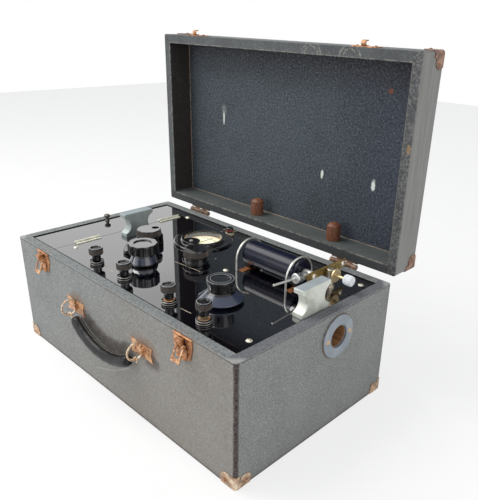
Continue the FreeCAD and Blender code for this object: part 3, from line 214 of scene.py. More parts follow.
world = bpy.data.worlds.new("pale_room")
bpy.context.scene.world = world
world.use_nodes = True
air = world.node_tree
air.nodes.clear()
ray = add_node(air, "ShaderNodeLightPath", {}, {}).outputs
clear = ray["Is Camera Ray"]
for kind in ("Is Glossy Ray", "Is Transmission Ray"):
    clear = add_node(air, "ShaderNodeMath", {"operation": "MAXIMUM"}, {0: clear, 1: ray[kind]}).outputs[0]
sky = add_node(air, "ShaderNodeMix", {"data_type": "RGBA"},
               {0: clear, 6: (0.50, 0.52, 0.55, 1), 7: (1, 1, 1, 1)})
backdrop = add_node(air, "ShaderNodeBackground", {}, {0: sky.outputs[2]})
add_node(air, "ShaderNodeOutputWorld", {}, {0: backdrop.outputs[0]})


def in_scene(name, data):
    obj = bpy.data.objects.new(name, data)
    bpy.context.scene.collection.objects.link(obj)
    return obj


def soft_lamp(name, at, aim, size, power, colour):
    data = bpy.data.lights.new(name, "AREA")
    data.shape = "DISK"
    data.size = size
    data.energy = power
    data.color = colour
    lamp = in_scene(name, data)
    lamp.location = at
    lamp.rotation_euler = (Vector(aim) - Vector(at)).to_track_quat("-Z", "Y").to_euler()


soft_lamp("soft_box", (-0.9, -0.5, 1.7), (0, 0, 0.1), 1.3, 26.0, (1.0, 0.99, 0.97))
soft_lamp("front_fill", (-0.6, -1.6, 0.6), (0, 0, 0.1), 1.2, 9.0, (0.96, 0.98, 1.0))
soft_lamp("side_fill", (1.7, -0.1, 0.7), (0.1, 0, 0.1), 1.2, 9.0, (1.0, 0.98, 0.96))

CAMERA_AT = (0.5484, -0.4334, 0.4463)
AZIMUTH = math.radians(43.0486)
HEIGHT = math.radians(23.8359)
ROLL = math.radians(1.8892)
lens = bpy.data.cameras.new("photo_camera")
lens.lens = 40.86
lens.sensor_width = 36.0
lens.shift_x = -0.0639
lens.shift_y = 0.0391
lens.clip_start = 0.01
camera = in_scene("photo_camera", lens)
tilt = Matrix.Rotation(math.pi / 2 - HEIGHT, 4, "X") @ Matrix.Rotation(ROLL, 4, "Z")
camera.matrix_world = Matrix.Translation(CAMERA_AT) @ Matrix.Rotation(AZIMUTH, 4, "Z") @ tilt
bpy.context.scene.camera = camera
bpy.context.scene.view_settings.view_transform = "Standard"

# Case: a wooden box covered in dark leathercloth, turned in over the rim and rubbed pale on its edges.
# The cloth is lapped at the corners, where it has wrinkled and let go a little.
HALF_L, HALF_W, TALL = 225, 130, 154
CASE = Vector((HALF_L, HALF_W, TALL)) * MM
WALL = 13.5 * MM
CLOTH = tone(124, 126, 125)
CLOTH_DARK = tone(92, 94, 95)
CLOTH_PALE = tone(166, 168, 162)
CLOTH_WARM = tone(140, 130, 120)
TOP_SHEEN_GREY = tone(122, 128, 128)
CLOTH_BROWN = tone(92, 70, 56)
RIM_GREY = tone(88, 88, 97)
BARE_RIM = tone(128, 100, 76)
INNER_SHADE_BLACK = tone(16, 14, 14)
SOOT = tone(34, 26, 24)
LAP_BROWN = tone(34, 24, 26)


def solid(obj):
    """Applies the modifiers of a mesh, so that what stays is plain."""
    bpy.context.view_layer.update()
    ready = obj.evaluated_get(bpy.context.evaluated_depsgraph_get())
    plain = bpy.data.meshes.new_from_object(ready)
    obj.modifiers.clear()
    obj.data = plain


def shade(obj, angle=35.0):
    obj.data.shade_smooth()
    obj.data.set_sharp_from_angle(angle=math.radians(angle))


def give(obj, material):
    obj.data.materials.clear()
    obj.data.materials.append(material)


def as_mesh(form, name):
    mesh = bpy.data.meshes.new(name)
    form.to_mesh(mesh)
    form.free()
    return mesh


def merged(node):
    """A copy of a CAD node's mesh with its triangles joined up again."""
    form = bmesh.new()
    form.from_mesh(frame["nodes"][node].data)
    bmesh.ops.remove_doubles(form, verts=form.verts, dist=2e-6)
    bmesh.ops.dissolve_limit(form, angle_limit=math.radians(0.6), verts=form.verts, edges=form.edges)
    return as_mesh(form, node + "_form")


def put(name, mesh, material, body, slot, *nodes):
    """Sets a mesh in the scene as a piece that rides a body and stands for the CAD nodes named."""
    obj = in_scene(name, mesh)
    give(obj, material)
    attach(obj, body)
    if nodes:
        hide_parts(*nodes)
    return obj


def dress(node, material, edge=0.25, steps=2, angle=35.0, name=None):
    """Stands for a CAD node with the same form, its edges rounded by edge millimetres."""
    slot = next(part["material_slot"] for part in frame["record"]["subparts"] if part["node"] == node)
    body = frame["nodes"][node]["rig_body"]
    obj = put(name or node + "_dressed", merged(node), material, body, slot, node)
    bevel = obj.modifiers.new("round", "BEVEL")
    bevel.width = edge * MM
    bevel.segments = steps
    bevel.limit_method = "ANGLE"
    bevel.angle_limit = math.radians(38)
    bevel.use_clamp_overlap = False
    solid(obj)
    shade(obj, angle)
    level = obj.modifiers.new("level", "WEIGHTED_NORMAL")
    level.weight = 90
    level.keep_sharp = True
    solid(obj)
    give(obj, material)
    return obj


cloth = Finish("case_leathercloth", Specular_IOR_Level=0.35)
patch = cloth.noise(55, 5, 0.6)
fine = cloth.noise(7, 4, 0.65)
speck = cloth.noise(1.8, 3, 0.8)
crumble = cloth.noise(2.4, 4, 0.8)
rub = cloth.noise(9, 4, 0.7) * 0.014
side = abs(cloth.x) * -1.0 + CASE.x
front = abs(cloth.y) * -1.0 + CASE.y
on_front = (cloth.y + CASE.y).fade(0.0012, 0.0004)
on_top = cloth.z.fade(CASE.z - 0.8 * MM, CASE.z - 0.2 * MM)
warm = (cloth.x + cloth.z * -1.0 + patch * 0.2).fade(-0.16, 0.16) * on_front
right_rim = on_top * cloth.x.fade(CASE.x - WALL - 0.7 * MM, CASE.x - WALL + 0.1 * MM)
from_edge = side.most(0.0) + front.most(0.0) + rub * 0.2
brown_edge = from_edge.fade(0.0066, 0.0040)
lap = from_edge.fade(0.0066, 0.0034) * cloth.x.fade(0.0, 0.01) * cloth.y.fade(0.0, -0.01)
seam_line = abs(cloth.z - (CASE.z - 1.8 * MM) + rub * 0.03).fade(0.0007, 0.0002)
seam_line = seam_line * side.least(front).fade(0.0016, 0.0006)
corner = (side + front).fade(0.019, 0.009) * on_top


def past_wall(depth):
    """How far a point lies inside the plane at this depth in the walls."""
    return (CASE.x - depth - abs(cloth.x)).least(CASE.y - depth - abs(cloth.y))


rim_in = abs(past_wall(WALL + 0.4 * MM)).fade(0.0009, 0.0003)
# Inside the inner plane of the walls the cloth is painted black: painted shade in the recess below the rim.
shaded_inner_face = past_wall(WALL - 0.4 * MM).fade(-0.0002, 0.0002)
foot = (cloth.z + rub * 0.7).fade(0.013, 0.003)
SCRATCH_AT, SCRATCH_R = (-0.105, 0, 0.269), 0.2534
swing = abs(cloth.near(SCRATCH_AT, (1, 0, 1)) - SCRATCH_R)
scratch = swing.fade(0.0008, 0.0003) * abs(cloth.x + 0.001).fade(0.043, 0.036) * on_front
cloth_tone = cloth.coats(
    CLOTH,
    (patch.fade(0.35, 0.7) * 0.35, CLOTH_DARK),
    (fine.fade(0.45, 0.85) * 0.3, CLOTH_PALE),
    (speck.fade(0.52, 0.64) * 0.7, CLOTH_PALE),
    (speck.fade(0.48, 0.36) * 0.85, CLOTH_DARK),
    (warm * 0.45, CLOTH_WARM),
    # The tops of the walls are painted a cooler grey: a painted sheen of the light from above.
    (on_top * 0.5, TOP_SHEEN_GREY),
    (right_rim * 0.6, RIM_GREY),
    (on_top * speck.fade(0.5, 0.42) * 0.4, SOOT),
    (brown_edge * crumble.fade(0.3, 0.6) * 0.6, CLOTH_BROWN),
    (lap * speck.fade(0.36, 0.54), LAP_BROWN),
    (seam_line * fine.fade(0.3, 0.5) * 0.85, SOOT),
    (corner * 0.7, CLOTH_PALE),
    (rim_in * on_top * crumble.fade(0.4, 0.6) * 0.6, BARE_RIM),
    (shaded_inner_face, INNER_SHADE_BLACK),
    (foot * 0.35, CLOTH_BROWN),
    (scratch * 0.6, CLOTH_PALE))
RUST_STAIN = tone(122, 84, 52)
SOOT_AND_GRIP_SHADOW = tone(62, 52, 46)
HANDLE_STAINS = [((x, 104), (27, 17), 0.55, RUST_STAIN) for x in (-73, 76)]
LATCH_STAINS = [((x, 140), (22, 20), 0.22, RUST_STAIN) for x in (-153, 147)]
# Along and above the grip the cloth is painted dark brown: partly soot, partly the painted shadow of the
# grip.
GRIP_SHADOW_MARKS = [(at, (18, 13), 0.72, SOOT_AND_GRIP_SHADOW)
               for at in ((-52, 92), (-38, 84), (-20, 79), (0, 77), (20, 79), (38, 86), (88, 92))]
for (x, z), (wide, high), strength, stain_and_shadow in HANDLE_STAINS + LATCH_STAINS + GRIP_SHADOW_MARKS:
    away = cloth.near((x * MM, -CASE.y, z * MM), (wide * MM, 0.02, high * MM))
    mark = (away + (fine - 0.5) * 0.9).fade(1.15, 0.35)
    cloth_tone = cloth.mix(mark * strength, cloth_tone, stain_and_shadow)
crease = cloth.noise(16, 5, 0.7, stretch=(1, 1, 0.5))
wrinkles = cloth.relief(crease * (lap * 2.0 + 0.12), 1.0)
pebbles = cloth.relief(cloth.cells(1.5) * 0.5 + speck * 0.5, 0.3, wrinkles)
cloth.paint(Base_Color=cloth_tone, Roughness=0.78 - fine * 0.22, Normal=pebbles)
case_box = dress("base_case", cloth.material, 1.1, 3, 40)
# The rounding may not dip below the foot.
for vertex in case_box.data.vertices:
    vertex.co.z = max(vertex.co.z, 0.0)

# Corner caps: lobed pressings of coppered steel, each held by two domed nails.
# The copper has worn to pale metal on the high spots and rusted brown in the hollows.
COPPER_SHADES = (tone(128, 74, 38), tone(194, 130, 80), tone(230, 196, 156))
CAP_SHADES = (tone(128, 92, 66), tone(196, 160, 128), tone(236, 222, 200))
RUST = tone(92, 54, 30)


def copper_finish(name, pale=0.5, shine=0.55, rust=0.5, shades=COPPER_SHADES):
    metal = Finish(name, Metallic=0.35)
    broad = metal.noise(9, 4, 0.6)
    fine = metal.noise(1.6, 3, 0.7)
    pits = metal.cells(1.1)
    rusted = metal.noise(4, 4, 0.75, shift=(3, 5, 7)).fade(0.56, 0.7)
    dark, middle, light = shades
    colour = metal.coats(
        dark,
        (broad.fade(0.36, 0.66), middle),
        (fine.fade(0.42, 0.8) * pale * 1.6, light),
        (broad.fade(0.52, 0.72) * pale, light),
        (rusted * rust, RUST))
    bump = metal.relief(fine * 0.6 + pits * 0.4, 0.35)
    metal.paint(Base_Color=colour, Roughness=rusted * 0.3 + (1 - shine) * 0.8, Normal=bump)
    return metal.material


dress("base_corner_caps", copper_finish("coppered_caps", 0.6, 0.5, 0.55, CAP_SHADES), 0.35, 2)


class Growth:
    """One Geometry Nodes tree with named inputs, run once on a mesh and then removed."""

    def __init__(self, name, **inputs):
        self.tree = bpy.data.node_groups.new(name, "GeometryNodeTree")
        face = self.tree.interface
        for side in ("INPUT", "OUTPUT"):
            face.new_socket("Geometry", in_out=side, socket_type="NodeSocketGeometry")
        kinds = {int: "NodeSocketInt", float: "NodeSocketFloat", tuple: "NodeSocketVector"}
        self.ids = {}
        for label, value in inputs.items():
            made = face.new_socket(label, in_out="INPUT", socket_type=kinds[type(value)])
            self.ids[label] = made.identifier
        self.start = self.tree.nodes.new("NodeGroupInput")
        self.end = self.tree.nodes.new("NodeGroupOutput")

    def node(self, kind, settings, values):
        return add_node(self.tree, kind, settings, values).outputs[0]

    def given(self, label):
        return self.start.outputs[label]

    def finish(self, shape, material):
        real = self.node("GeometryNodeRealizeInstances", {}, {0: shape})
        done = self.node("GeometryNodeSetMaterial", {}, {0: real, "Material": material})
        self.tree.links.new(done, self.end.inputs[0])

    def spread(self, piece, material):
        """One copy of the piece on each point, turned the way that the point says."""
        way = self.node("GeometryNodeInputNamedAttribute", {"data_type": "FLOAT_VECTOR"}, {"Name": "way"})
        turn = self.node("FunctionNodeAlignRotationToVector", {"axis": "Z"}, {"Vector": way})
        copies = {"Points": self.given("Geometry"), "Instance": piece, "Rotation": turn}
        self.finish(self.node("GeometryNodeInstanceOnPoints", {}, copies), material)

    def run(self, name, mesh, material, body, slot, angle=35.0, **inputs):
        obj = in_scene(name, mesh)
        grown = obj.modifiers.new("grow", "NODES")
        grown.node_group = self.tree
        for label, value in inputs.items():
            grown[self.ids[label]] = value
        solid(obj)
        give(obj, material)
        shade(obj, angle)
        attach(obj, body)


def scatter(points):
    """A mesh of bare points; each has the direction that its copy faces in "way"."""
    mesh = bpy.data.meshes.new("points")
    mesh.from_pydata([tuple(c * MM for c in at) for at, way in points], [], [])
    ways = mesh.attributes.new("way", "FLOAT_VECTOR", "POINT")
    for spot, (at, way) in zip(ways.data, points):
        spot.vector = way
    return mesh


def domes(name, points, radius, height, material, body, slot):
    """Domed nail or screw heads, one on each point."""
    heads = Growth(name + "_tree", Radius=1.0, Height=1.0)
    ball = heads.node("GeometryNodeMeshUVSphere", {}, {"Segments": 20, "Rings": 10, "Radius": 1.0})
    size = heads.node("ShaderNodeCombineXYZ", {}, {
        0: heads.given("Radius"), 1: heads.given("Radius"), 2: heads.given("Height")})
    heads.spread(heads.node("GeometryNodeTransform", {}, {0: ball, "Scale": size}), material)
    heads.run(name, scatter(points), material, body, slot, Radius=radius * MM, Height=height * MM)


NAIL_Z = 6.7
cap_nails = []
for sx in (-1, 1):
    for sy in (-1, 1):
        cap_nails.append(((sx * (HALF_L - 14.3), sy * (HALF_W + 1.2), NAIL_Z), (0, sy, 0)))
        cap_nails.append(((sx * (HALF_L + 0.8), sy * (HALF_W - 13.6), NAIL_Z), (sx, 0, 0)))
domes("cap_nail_heads", cap_nails, 2.6, 1.5, copper_finish("cap_nails", 0.3, 0.4, 0.8), "case",
      "rusty_steel")

# Port flange: a grey painted ring with a milled edge, screwed over a hole bored in the right wall.
# Two brass screws hold it, and the hole shows the bare wood of the wall.
PORT_Y, PORT_Z = 25.5, 122
FLANGE_FACE = 228
FLANGE_R = 26.4
flange_paint = Finish("flange_paint", Metallic=0.2)
chips = flange_paint.noise(3.5, 4, 0.7)
screw_heads = flange_paint.x.fade((FLANGE_FACE + 0.06) * MM, (FLANGE_FACE + 0.3) * MM)
flange_tone = flange_paint.coats(
    tone(132, 140, 148),
    (chips.fade(0.68, 0.76) * 0.6, tone(110, 104, 100)),
    (flange_paint.noise(14).fade(0.4, 0.8) * 0.5, tone(166, 172, 178)),
    (screw_heads, tone(186, 158, 120)))
flange_paint.paint(
    Base_Color=flange_tone, Roughness=0.42 + chips * 0.2, Normal=flange_paint.relief(chips, 0.15))
dress("port_flange", flange_paint.material, 0.3)


def ribs(name, centre, axis, radii, height, count, material, body, slot):
    """V-shaped milling: ridges side by side on a ring, leaning from the first radius to the second."""
    low, high = radii
    middle = (low + high) / 2
    wide = 1.04 * math.pi * middle / count
    ring = Growth(name + "_tree", Count=1, Radius=1.0, Height=1.0, Width=1.0, Lean=(0.0, 0.0, 0.0),
                  Centre=(0.0, 0.0, 0.0), Turn=(0.0, 0.0, 0.0))
    circle = ring.node("GeometryNodeMeshCircle", {}, {
        "Vertices": ring.given("Count"), "Radius": ring.given("Radius")})
    ridge = ring.node("GeometryNodeMeshCylinder", {}, {
        "Vertices": 4, "Radius": ring.given("Width"), "Depth": ring.given("Height")})
    leaning = ring.node("GeometryNodeTransform", {}, {0: ridge, "Rotation": ring.given("Lean")})
    here = ring.node("GeometryNodeInputPosition", {}, {})
    turn = ring.node(
        "FunctionNodeAlignRotationToVector", {"axis": "X", "pivot_axis": "Z"}, {"Vector": here})
    spread = ring.node("GeometryNodeInstanceOnPoints", {}, {
        "Points": circle, "Instance": leaning, "Rotation": turn})
    placed = ring.node("GeometryNodeTransform", {}, {
        0: spread, "Translation": ring.given("Centre"), "Rotation": ring.given("Turn")})
    ring.finish(placed, material)
    turned_to = Vector((0, 0, 1)).rotation_difference(Vector(axis)).to_euler()
    ring.run(name, bpy.data.meshes.new("empty"), material, body, slot, 20.0, Count=count,
             Radius=(middle - wide * 0.5) * MM, Height=height * MM, Width=wide * MM,
             Lean=[0.0, math.atan((high - low) / height), 0.0],
             Centre=[c * MM for c in centre], Turn=list(turned_to))


flange_edge = Finish("bronze_edge", Metallic=0.4)
edge_wear = flange_edge.noise(3, 3)
bronze = flange_edge.ramp(edge_wear, (0.3, tone(104, 80, 62)), (0.7, tone(168, 140, 112)))
flange_edge.paint(Base_Color=bronze, Roughness=edge_wear * 0.4 + 0.3)
ribs("flange_milling", (FLANGE_FACE - 1.8, PORT_Y, PORT_Z), (1, 0, 0), (FLANGE_R, FLANGE_R), 2.2, 96,
     flange_edge.material, "case", "flange_grey")

# Bare woodwork inside: pine cleats under the panel's edges, and the divider beside the battery space.
# The bore of the port shows the same wood, cut across.
wood = Finish("bare_pine", Roughness=0.8)
lines = wood.noise(3.0, 4, 0.7, stretch=(0.08, 1, 1))
wood_tone = wood.ramp(
    lines, (0.3, tone(108, 72, 44)), (0.55, tone(150, 108, 70)), (0.8, tone(176, 136, 92)))
wood.paint(Base_Color=wood_tone, Normal=wood.relief(lines, 0.2))
dress("inner_woodwork", wood.material, 0.4)


def turned(name, profile, centre, material, body, slot, axis=(0, 0, 1)):
    """A lathe-turned piece: profile is (radius, height) pairs in millimetres."""
    form = bmesh.new()
    last = [form.verts.new((r, 0, h)) for r, h in profile]
    for low, high in zip(last, last[1:]):
        form.edges.new((low, high))
    bmesh.ops.spin(form, geom=form.verts[:] + form.edges[:], cent=(0, 0, 0), axis=(0, 0, 1),
                   angle=2 * math.pi, steps=48, use_merge=False)
    bmesh.ops.remove_doubles(form, verts=form.verts, dist=1e-4)
    bmesh.ops.dissolve_degenerate(form, dist=1e-5, edges=form.edges)
    bmesh.ops.recalc_face_normals(form, faces=form.faces)
    spun = Vector((0, 0, 1)).rotation_difference(Vector(axis)).to_matrix().to_4x4()
    form.transform(Matrix.Scale(MM, 4) @ Matrix.Translation(centre) @ spun)
    shade(put(name, as_mesh(form, name), material, body, slot))


BORE_PROFILE = ((13.7, 0), (13.35, 0.2), (13.35, 13.0), (13.7, 13.2))
turned("port_bore_wood", BORE_PROFILE, (211.7, PORT_Y, PORT_Z), wood.material, "case", "inner_wood",
       (1, 0, 0))

# Under the panel: switch decks of brown board with brass studs, spools of silk-covered wire,
# and the brass rotors that wipe over the studs.
board = mottled("brown_board", (2.0, 3), (84, 50, 30), (112, 70, 42), Roughness=0.6)
dress("switch_decks", board.material, 0.2)
silk = Finish("green_silk", Roughness=0.55)
turns = silk.noise(1.0, 1, 0.5, stretch=(0.1, 0.1, 4))
silk.paint(Base_Color=silk.ramp(turns, (0.3, tone(40, 66, 44)), (0.7, tone(86, 118, 82))),
           Normal=silk.relief(turns, 0.2))
dress("resistance_bobbins", silk.material, 0.2)


def brass_finish(name, bright=0.4):
    metal = Finish(name, Metallic=0.75)
    cloud = metal.noise(6, 4, 0.65)
    fine = metal.noise(1.2, 3, 0.6, stretch=(1, 1, 0.3))
    colour = metal.coats(
        tone(128, 106, 58),
        (cloud.fade(0.35, 0.7), tone(176, 152, 92)),
        (fine.fade(0.55, 0.75) * bright, tone(222, 206, 158)))
    metal.paint(Base_Color=colour, Roughness=0.5 - cloud * 0.25, Normal=metal.relief(fine, 0.12))
    return metal.material


brass = brass_finish("dull_brass")
for spot in ("lever", "fluted", "knurled", "skirted"):
    dress("rotor_" + spot, brass, 0.2)

# Panel: a sheet of polished black insulating board, with engraved lines filled pale, and dust on it.
# The cover over the battery space is a strip of the same sheet.
PANEL_Z = 152.5
PANEL_BLACK = tone(5, 5, 12)
PANEL_DUST = tone(170, 165, 158)
PANEL_HAZE = tone(90, 92, 120)
GAP_SHADE_BLACK = tone(8, 7, 7)
sheet = Finish("polished_black", IOR=2.65, Coat_Weight=1.0, Coat_Roughness=0.015)
dust = sheet.noise(0.9, 2, 0.8)
haze = sheet.noise(38, 4, 0.6)
hairlines = sheet.noise(2.5, 2, 0.5, stretch=(0.12, 1.4, 1))
JOINT_X, JOINT_Y = 0.2109, 0.1159
# A narrow band round the sheet's border is painted black and dull: painted shade of the gap between the
# panel and the case.
gap_shade = (JOINT_X - abs(sheet.x)).least(JOINT_Y - abs(sheet.y)).fade(0.0011, 0.0007)
duller = sheet.x.fade(-0.03, 0.07) * 0.5
sheet_tone = sheet.coats(
    PANEL_BLACK,
    (dust.fade(0.66, 0.76) * 0.35, PANEL_DUST),
    (haze.fade(0.5, 0.9) * 0.05, PANEL_HAZE),
    (gap_shade, GAP_SHADE_BLACK))
sheet_rough = haze.fade(0.3, 0.9) * 0.03 + dust.fade(0.64, 0.8) * 0.3 + gap_shade * 0.6 + 0.015
sheet.paint(Base_Color=sheet_tone, Coat_Weight=(1 - gap_shade) * (1 - duller), Roughness=sheet_rough,
            Normal=sheet.relief(hairlines, 0.004))
dress("panel", sheet.material, 0.3)
dress("compartment_cover", sheet.material, 0.3)


def strips(name, marks, material, slot):
    """One mesh of thin flat strips; a mark is its two ends, its width, its foot and its thickness."""
    points, faces = [], []
    for ((x0, y0), (x1, y1)), width, z, thick in marks:
        along = Vector((x1 - x0, y1 - y0, 0)).normalized()
        half = Vector((-along.y, along.x, 0)) * width / 2
        start, stop = Vector((x0, y0, z)), Vector((x1, y1, z))
        low = [start - half, stop - half, stop + half, start + half]
        high = [v + Vector((0, 0, thick)) for v in low]
        base = len(points)
        points += [v * MM for v in low + high]
        for face in ((3, 2, 1, 0), (4, 5, 6, 7), (0, 1, 5, 4), (1, 2, 6, 5), (2, 3, 7, 6), (3, 0, 4, 7)):
            faces.append([base + k for k in face])
    mesh = bpy.data.meshes.new(name)
    mesh.from_pydata(points, [], faces)
    put(name, mesh, material, "case", slot)


GROOVES = (((-9, -22), (38, -18)), ((100.6, -97), (117, -96)), ((-56.6, -96.7), (-32.5, -98)),
           ((-58, 107), (-33, 119)), ((118, -20), (125, -16)))
DOTS = ((121.6, -17.8), (-53, 99), (-32, 106), (20, 24))
groove_filling = mottled(
    "groove_filling", (1.5, 3, 0.8), (120, 105, 88), (216, 200, 176), (0.38, 0.6), Roughness=0.6)
engraving = [(ends, 1.0, PANEL_Z - 0.03, 0.08) for ends in GROOVES]
engraving += [(((x - 0.9, y), (x + 0.9, y)), 1.6, PANEL_Z - 0.03, 0.08) for x, y in DOTS]
strips("panel_engraving", engraving, groove_filling.material, "panel_black")
gap_shadow = mottled(
    "gap_shadow", (3,), (8, 7, 7), (24, 20, 18), (0.3, 0.8), Specular_IOR_Level=0.0, Roughness=1.0)
GAP_CORNERS = ((-210.5, -115.5), (210.5, -115.5), (210.5, 115.5), (-210.5, 115.5))
gap_lines = [(ends, 1.7, PANEL_Z - 0.02, 0.06)
             for ends in zip(GAP_CORNERS, GAP_CORNERS[1:] + GAP_CORNERS[:1])]
strips("panel_edge_gap", gap_lines, gap_shadow.material, "panel_black")

# Screws that hold the panel: plated, with rounded heads and one slot each.
# Two stand at each end of the sheet, and one near its middle.
SCREWS = ((-137.0, -91.0), (-137.0, 102.0), (57.0, 8.5), (201.0, -90.0), (200.6, 100.0))


def plated_finish(name, base=(198, 198, 192), dull=0.35, rough=0.24):
    metal = Finish(name, Metallic=0.85)
    cloud = metal.noise(7, 4, 0.6)
    fine = metal.noise(0.9, 3, 0.65)
    colour = metal.coats(
        tone(*base),
        (cloud.fade(0.4, 0.75) * dull * 2, tone(132, 124, 112)),
        (fine.fade(0.6, 0.75) * dull, tone(96, 82, 66)))
    metal.paint(Base_Color=colour, Roughness=rough + cloud * 0.25 + fine * 0.1,
                Normal=metal.relief(fine, 0.06))
    return metal.material


screw_metal = plated_finish("screw_plate", (222, 218, 204), 0.2, 0.45)
dress("panel_screws", screw_metal, 0.1, angle=60)
slot_dirt = mottled("screw_slot", (0.8,), (22, 18, 16), (52, 42, 36), Roughness=0.8).material


def slots(name, points, length, body, slot):
    """Dark slots across screw heads, one bar on each point."""
    bars = Growth(name + "_tree", Length=1.0, Width=1.0)
    size = bars.node("ShaderNodeCombineXYZ", {}, {
        0: bars.given("Length"), 1: bars.given("Width"), 2: bars.given("Width")})
    bars.spread(bars.node("GeometryNodeMeshCube", {}, {"Size": size}), slot_dirt)
    bars.run(name, scatter(points), slot_dirt, body, slot, Length=length * MM, Width=0.7 * MM)


slots("panel_screw_slots", [((x, y, PANEL_Z + 1.55), (0.2, 0.1, 1)) for x, y in SCREWS], 6.0, "case",
      "rusty_steel")

# Small plated hinges of the battery cover, screwed to the panel and to the cover,
# and the turned knob of darkened metal that lifts it.
leaf_metal = plated_finish("hinge_leaf_plate", (226, 226, 212), 0.2, 0.4)
dress("panel_hinge_leaves", leaf_metal, 0.15)
dress("cover_hinge_leaves", leaf_metal, 0.15)
dress("cover_knob", plated_finish("dark_cover_knob", (92, 88, 84), 0.5, 0.3), 0.2)

# Galvanometer: a moulded black case with a bright window, an enamelled dial, and a pivoted needle.
# The boss of the zero adjuster covers the lower part of the dial.
METER_X, METER_Y = -40.0, 53.0
BLACK = tone(14, 14, 17)


def moulded_finish(name, base=BLACK, dustiness=0.25, ior=2.8, low=0.42, skirt=None):
    """Moulded black, glossy where it is seen at a slant; a skirt is a centre, a radius and the colour
    painted outside that radius as a reflection of the sky.
    """
    plastic = Finish(name, IOR=1.5, Coat_IOR=ior, Coat_Roughness=0.04)
    slant = plastic.node("ShaderNodeLayerWeight", {}, {0: 0.5}).outputs["Facing"]
    cloud = plastic.noise(8, 4, 0.6)
    fine = plastic.noise(0.8, 2, 0.75)
    colour = plastic.coats(
        base,
        (fine.fade(0.66, 0.78) * dustiness, tone(150, 144, 136)),
        (cloud.fade(0.55, 0.85) * dustiness * 0.3, tone(96, 90, 84)))
    if skirt:
        centre, inner, skirt_reflection_tone = skirt
        outside = plastic.near(centre, (1, 1, 0)).fade(inner, inner + 0.8 * MM)
        colour = plastic.mix(outside * 0.85, colour, skirt_reflection_tone)
    rough = cloud.fade(0.3, 0.9) * 0.12 + fine.fade(0.6, 0.8) * 0.2 + 0.14
    plastic.paint(Base_Color=colour, Roughness=rough, Normal=plastic.relief(fine, 0.02),
                  Coat_Weight=Value(plastic, slant).fade(low, low + 0.18))
    return plastic.material


bakelite = moulded_finish("moulded_black")
dress("meter_case", bakelite, 0.3)
glass = mottled("meter_glass", (12, 3), (246, 250, 248), (255, 255, 253), (0.2, 0.8),
                Roughness=0.0, IOR=1.5, Alpha=0.10)
dress("meter_glass", glass.material, 0.1)
# The dial glows faintly in its own colour: painted light that keeps it bright under the glass and the
# bezel.
enamel = Finish("glowing_dial_enamel", Roughness=0.45, Emission_Strength=0.42)
enamel_and_glow_tone = enamel.ramp(enamel.noise(14, 4, 0.6), (0.3, tone(246, 236, 186)), (0.7, tone(255, 252, 226)))
to_rim = enamel.near((METER_X * MM, METER_Y * MM, 0), (1, 1, 0)).fade(0.0225, 0.0275)
enamel_and_glow_tone = enamel.mix(to_rim * 0.85, enamel_and_glow_tone, tone(226, 176, 92))
enamel.paint(Base_Color=enamel_and_glow_tone, Emission_Color=enamel_and_glow_tone)
dress("meter_dial", enamel.material, 0.1)
DIAL_Z = PANEL_Z - 2.0
NEEDLE_Y = METER_Y - 22.0
SCALE_R = 37.5
SCALE_DEGREES = 1.4


def on_scale(radius, step):
    """A point of the dial at a radius from the needle's pivot, some scale steps from the middle."""
    bearing = math.radians(SCALE_DEGREES * step)
    return (METER_X + radius * math.sin(bearing), NEEDLE_Y + radius * math.cos(bearing))


ink = mottled("dial_ink", (2,), (70, 60, 44), (96, 84, 62), (0.2, 0.8), Roughness=0.5)
scale_marks = []
for k in range(-20, 21):
    inner, width = (SCALE_R, 0.18) if k % 5 else (35.8, 0.30)
    scale_marks.append(((on_scale(inner, k), on_scale(40.0, k)), width, DIAL_Z, 0.04))
for k in range(-20, 20):
    scale_marks.append(((on_scale(SCALE_R, k), on_scale(SCALE_R, k + 1)), 0.2, DIAL_Z, 0.04))
strips("dial_scale", scale_marks, ink.material, "dial_cream")
needle_black = mottled("needle_black", (3,), (18, 18, 18), (40, 38, 36), (0.2, 0.8), Roughness=0.4)
dress("meter_needle", needle_black.material, 0.05)
dress("zero_adjuster", plated_finish("worn_nickel"), 0.12)

# Binding terminals: a black base of two rings whose pale plated edges are painted highlights, a brass stud
# and nut, and a black head with a milled drum. The tops are cupped, and their grey rims are painted
# highlights.
# Two heads are screwed up off a copper washer.
TERM_X = (-70.0, -7.0, 82.0, 142.0)
TERM_Y = -98.5
TERM_LIFT = (0.0, 0.0, 1.7, 3.4)
TERM_TOP = PANEL_Z + 21.8
EDGE_PROFILE = ((8.6, -0.45), (9.02, -0.25), (9.1, 0), (9.02, 0.25), (8.6, 0.45), (8.6, -0.45))
RIM_PROFILE = (
    (6.5, -1.2), (6.9, 0.02), (7.5, 0.14), (8.0, -0.05), (8.35, -0.55), (7.6, -0.9), (6.5, -1.2))
WASHER_PROFILE = ((2.7, 0), (6.4, 0), (6.6, 0.4), (6.4, 0.9), (2.7, 0.9), (2.7, 0))
dress("terminal_bases", moulded_finish("terminal_base_black", tone(20, 18, 18), 0.4, 1.6, 0.6), 0.3)
dress("terminal_studs", brass, 0.15)
head_black = moulded_finish("terminal_black", BLACK, 0.5, 1.6, 0.6)
knurl = Finish("worn_knurl", IOR=1.6)
grime = knurl.noise(2.2, 4, 0.7)
knurl_tone = knurl.ramp(
    grime, (0.3, tone(34, 29, 27)), (0.55, tone(72, 62, 55)), (0.8, tone(120, 108, 98)))
knurl.paint(Base_Color=knurl_tone, Roughness=0.65 - grime * 0.3)
knurl_black = knurl.material
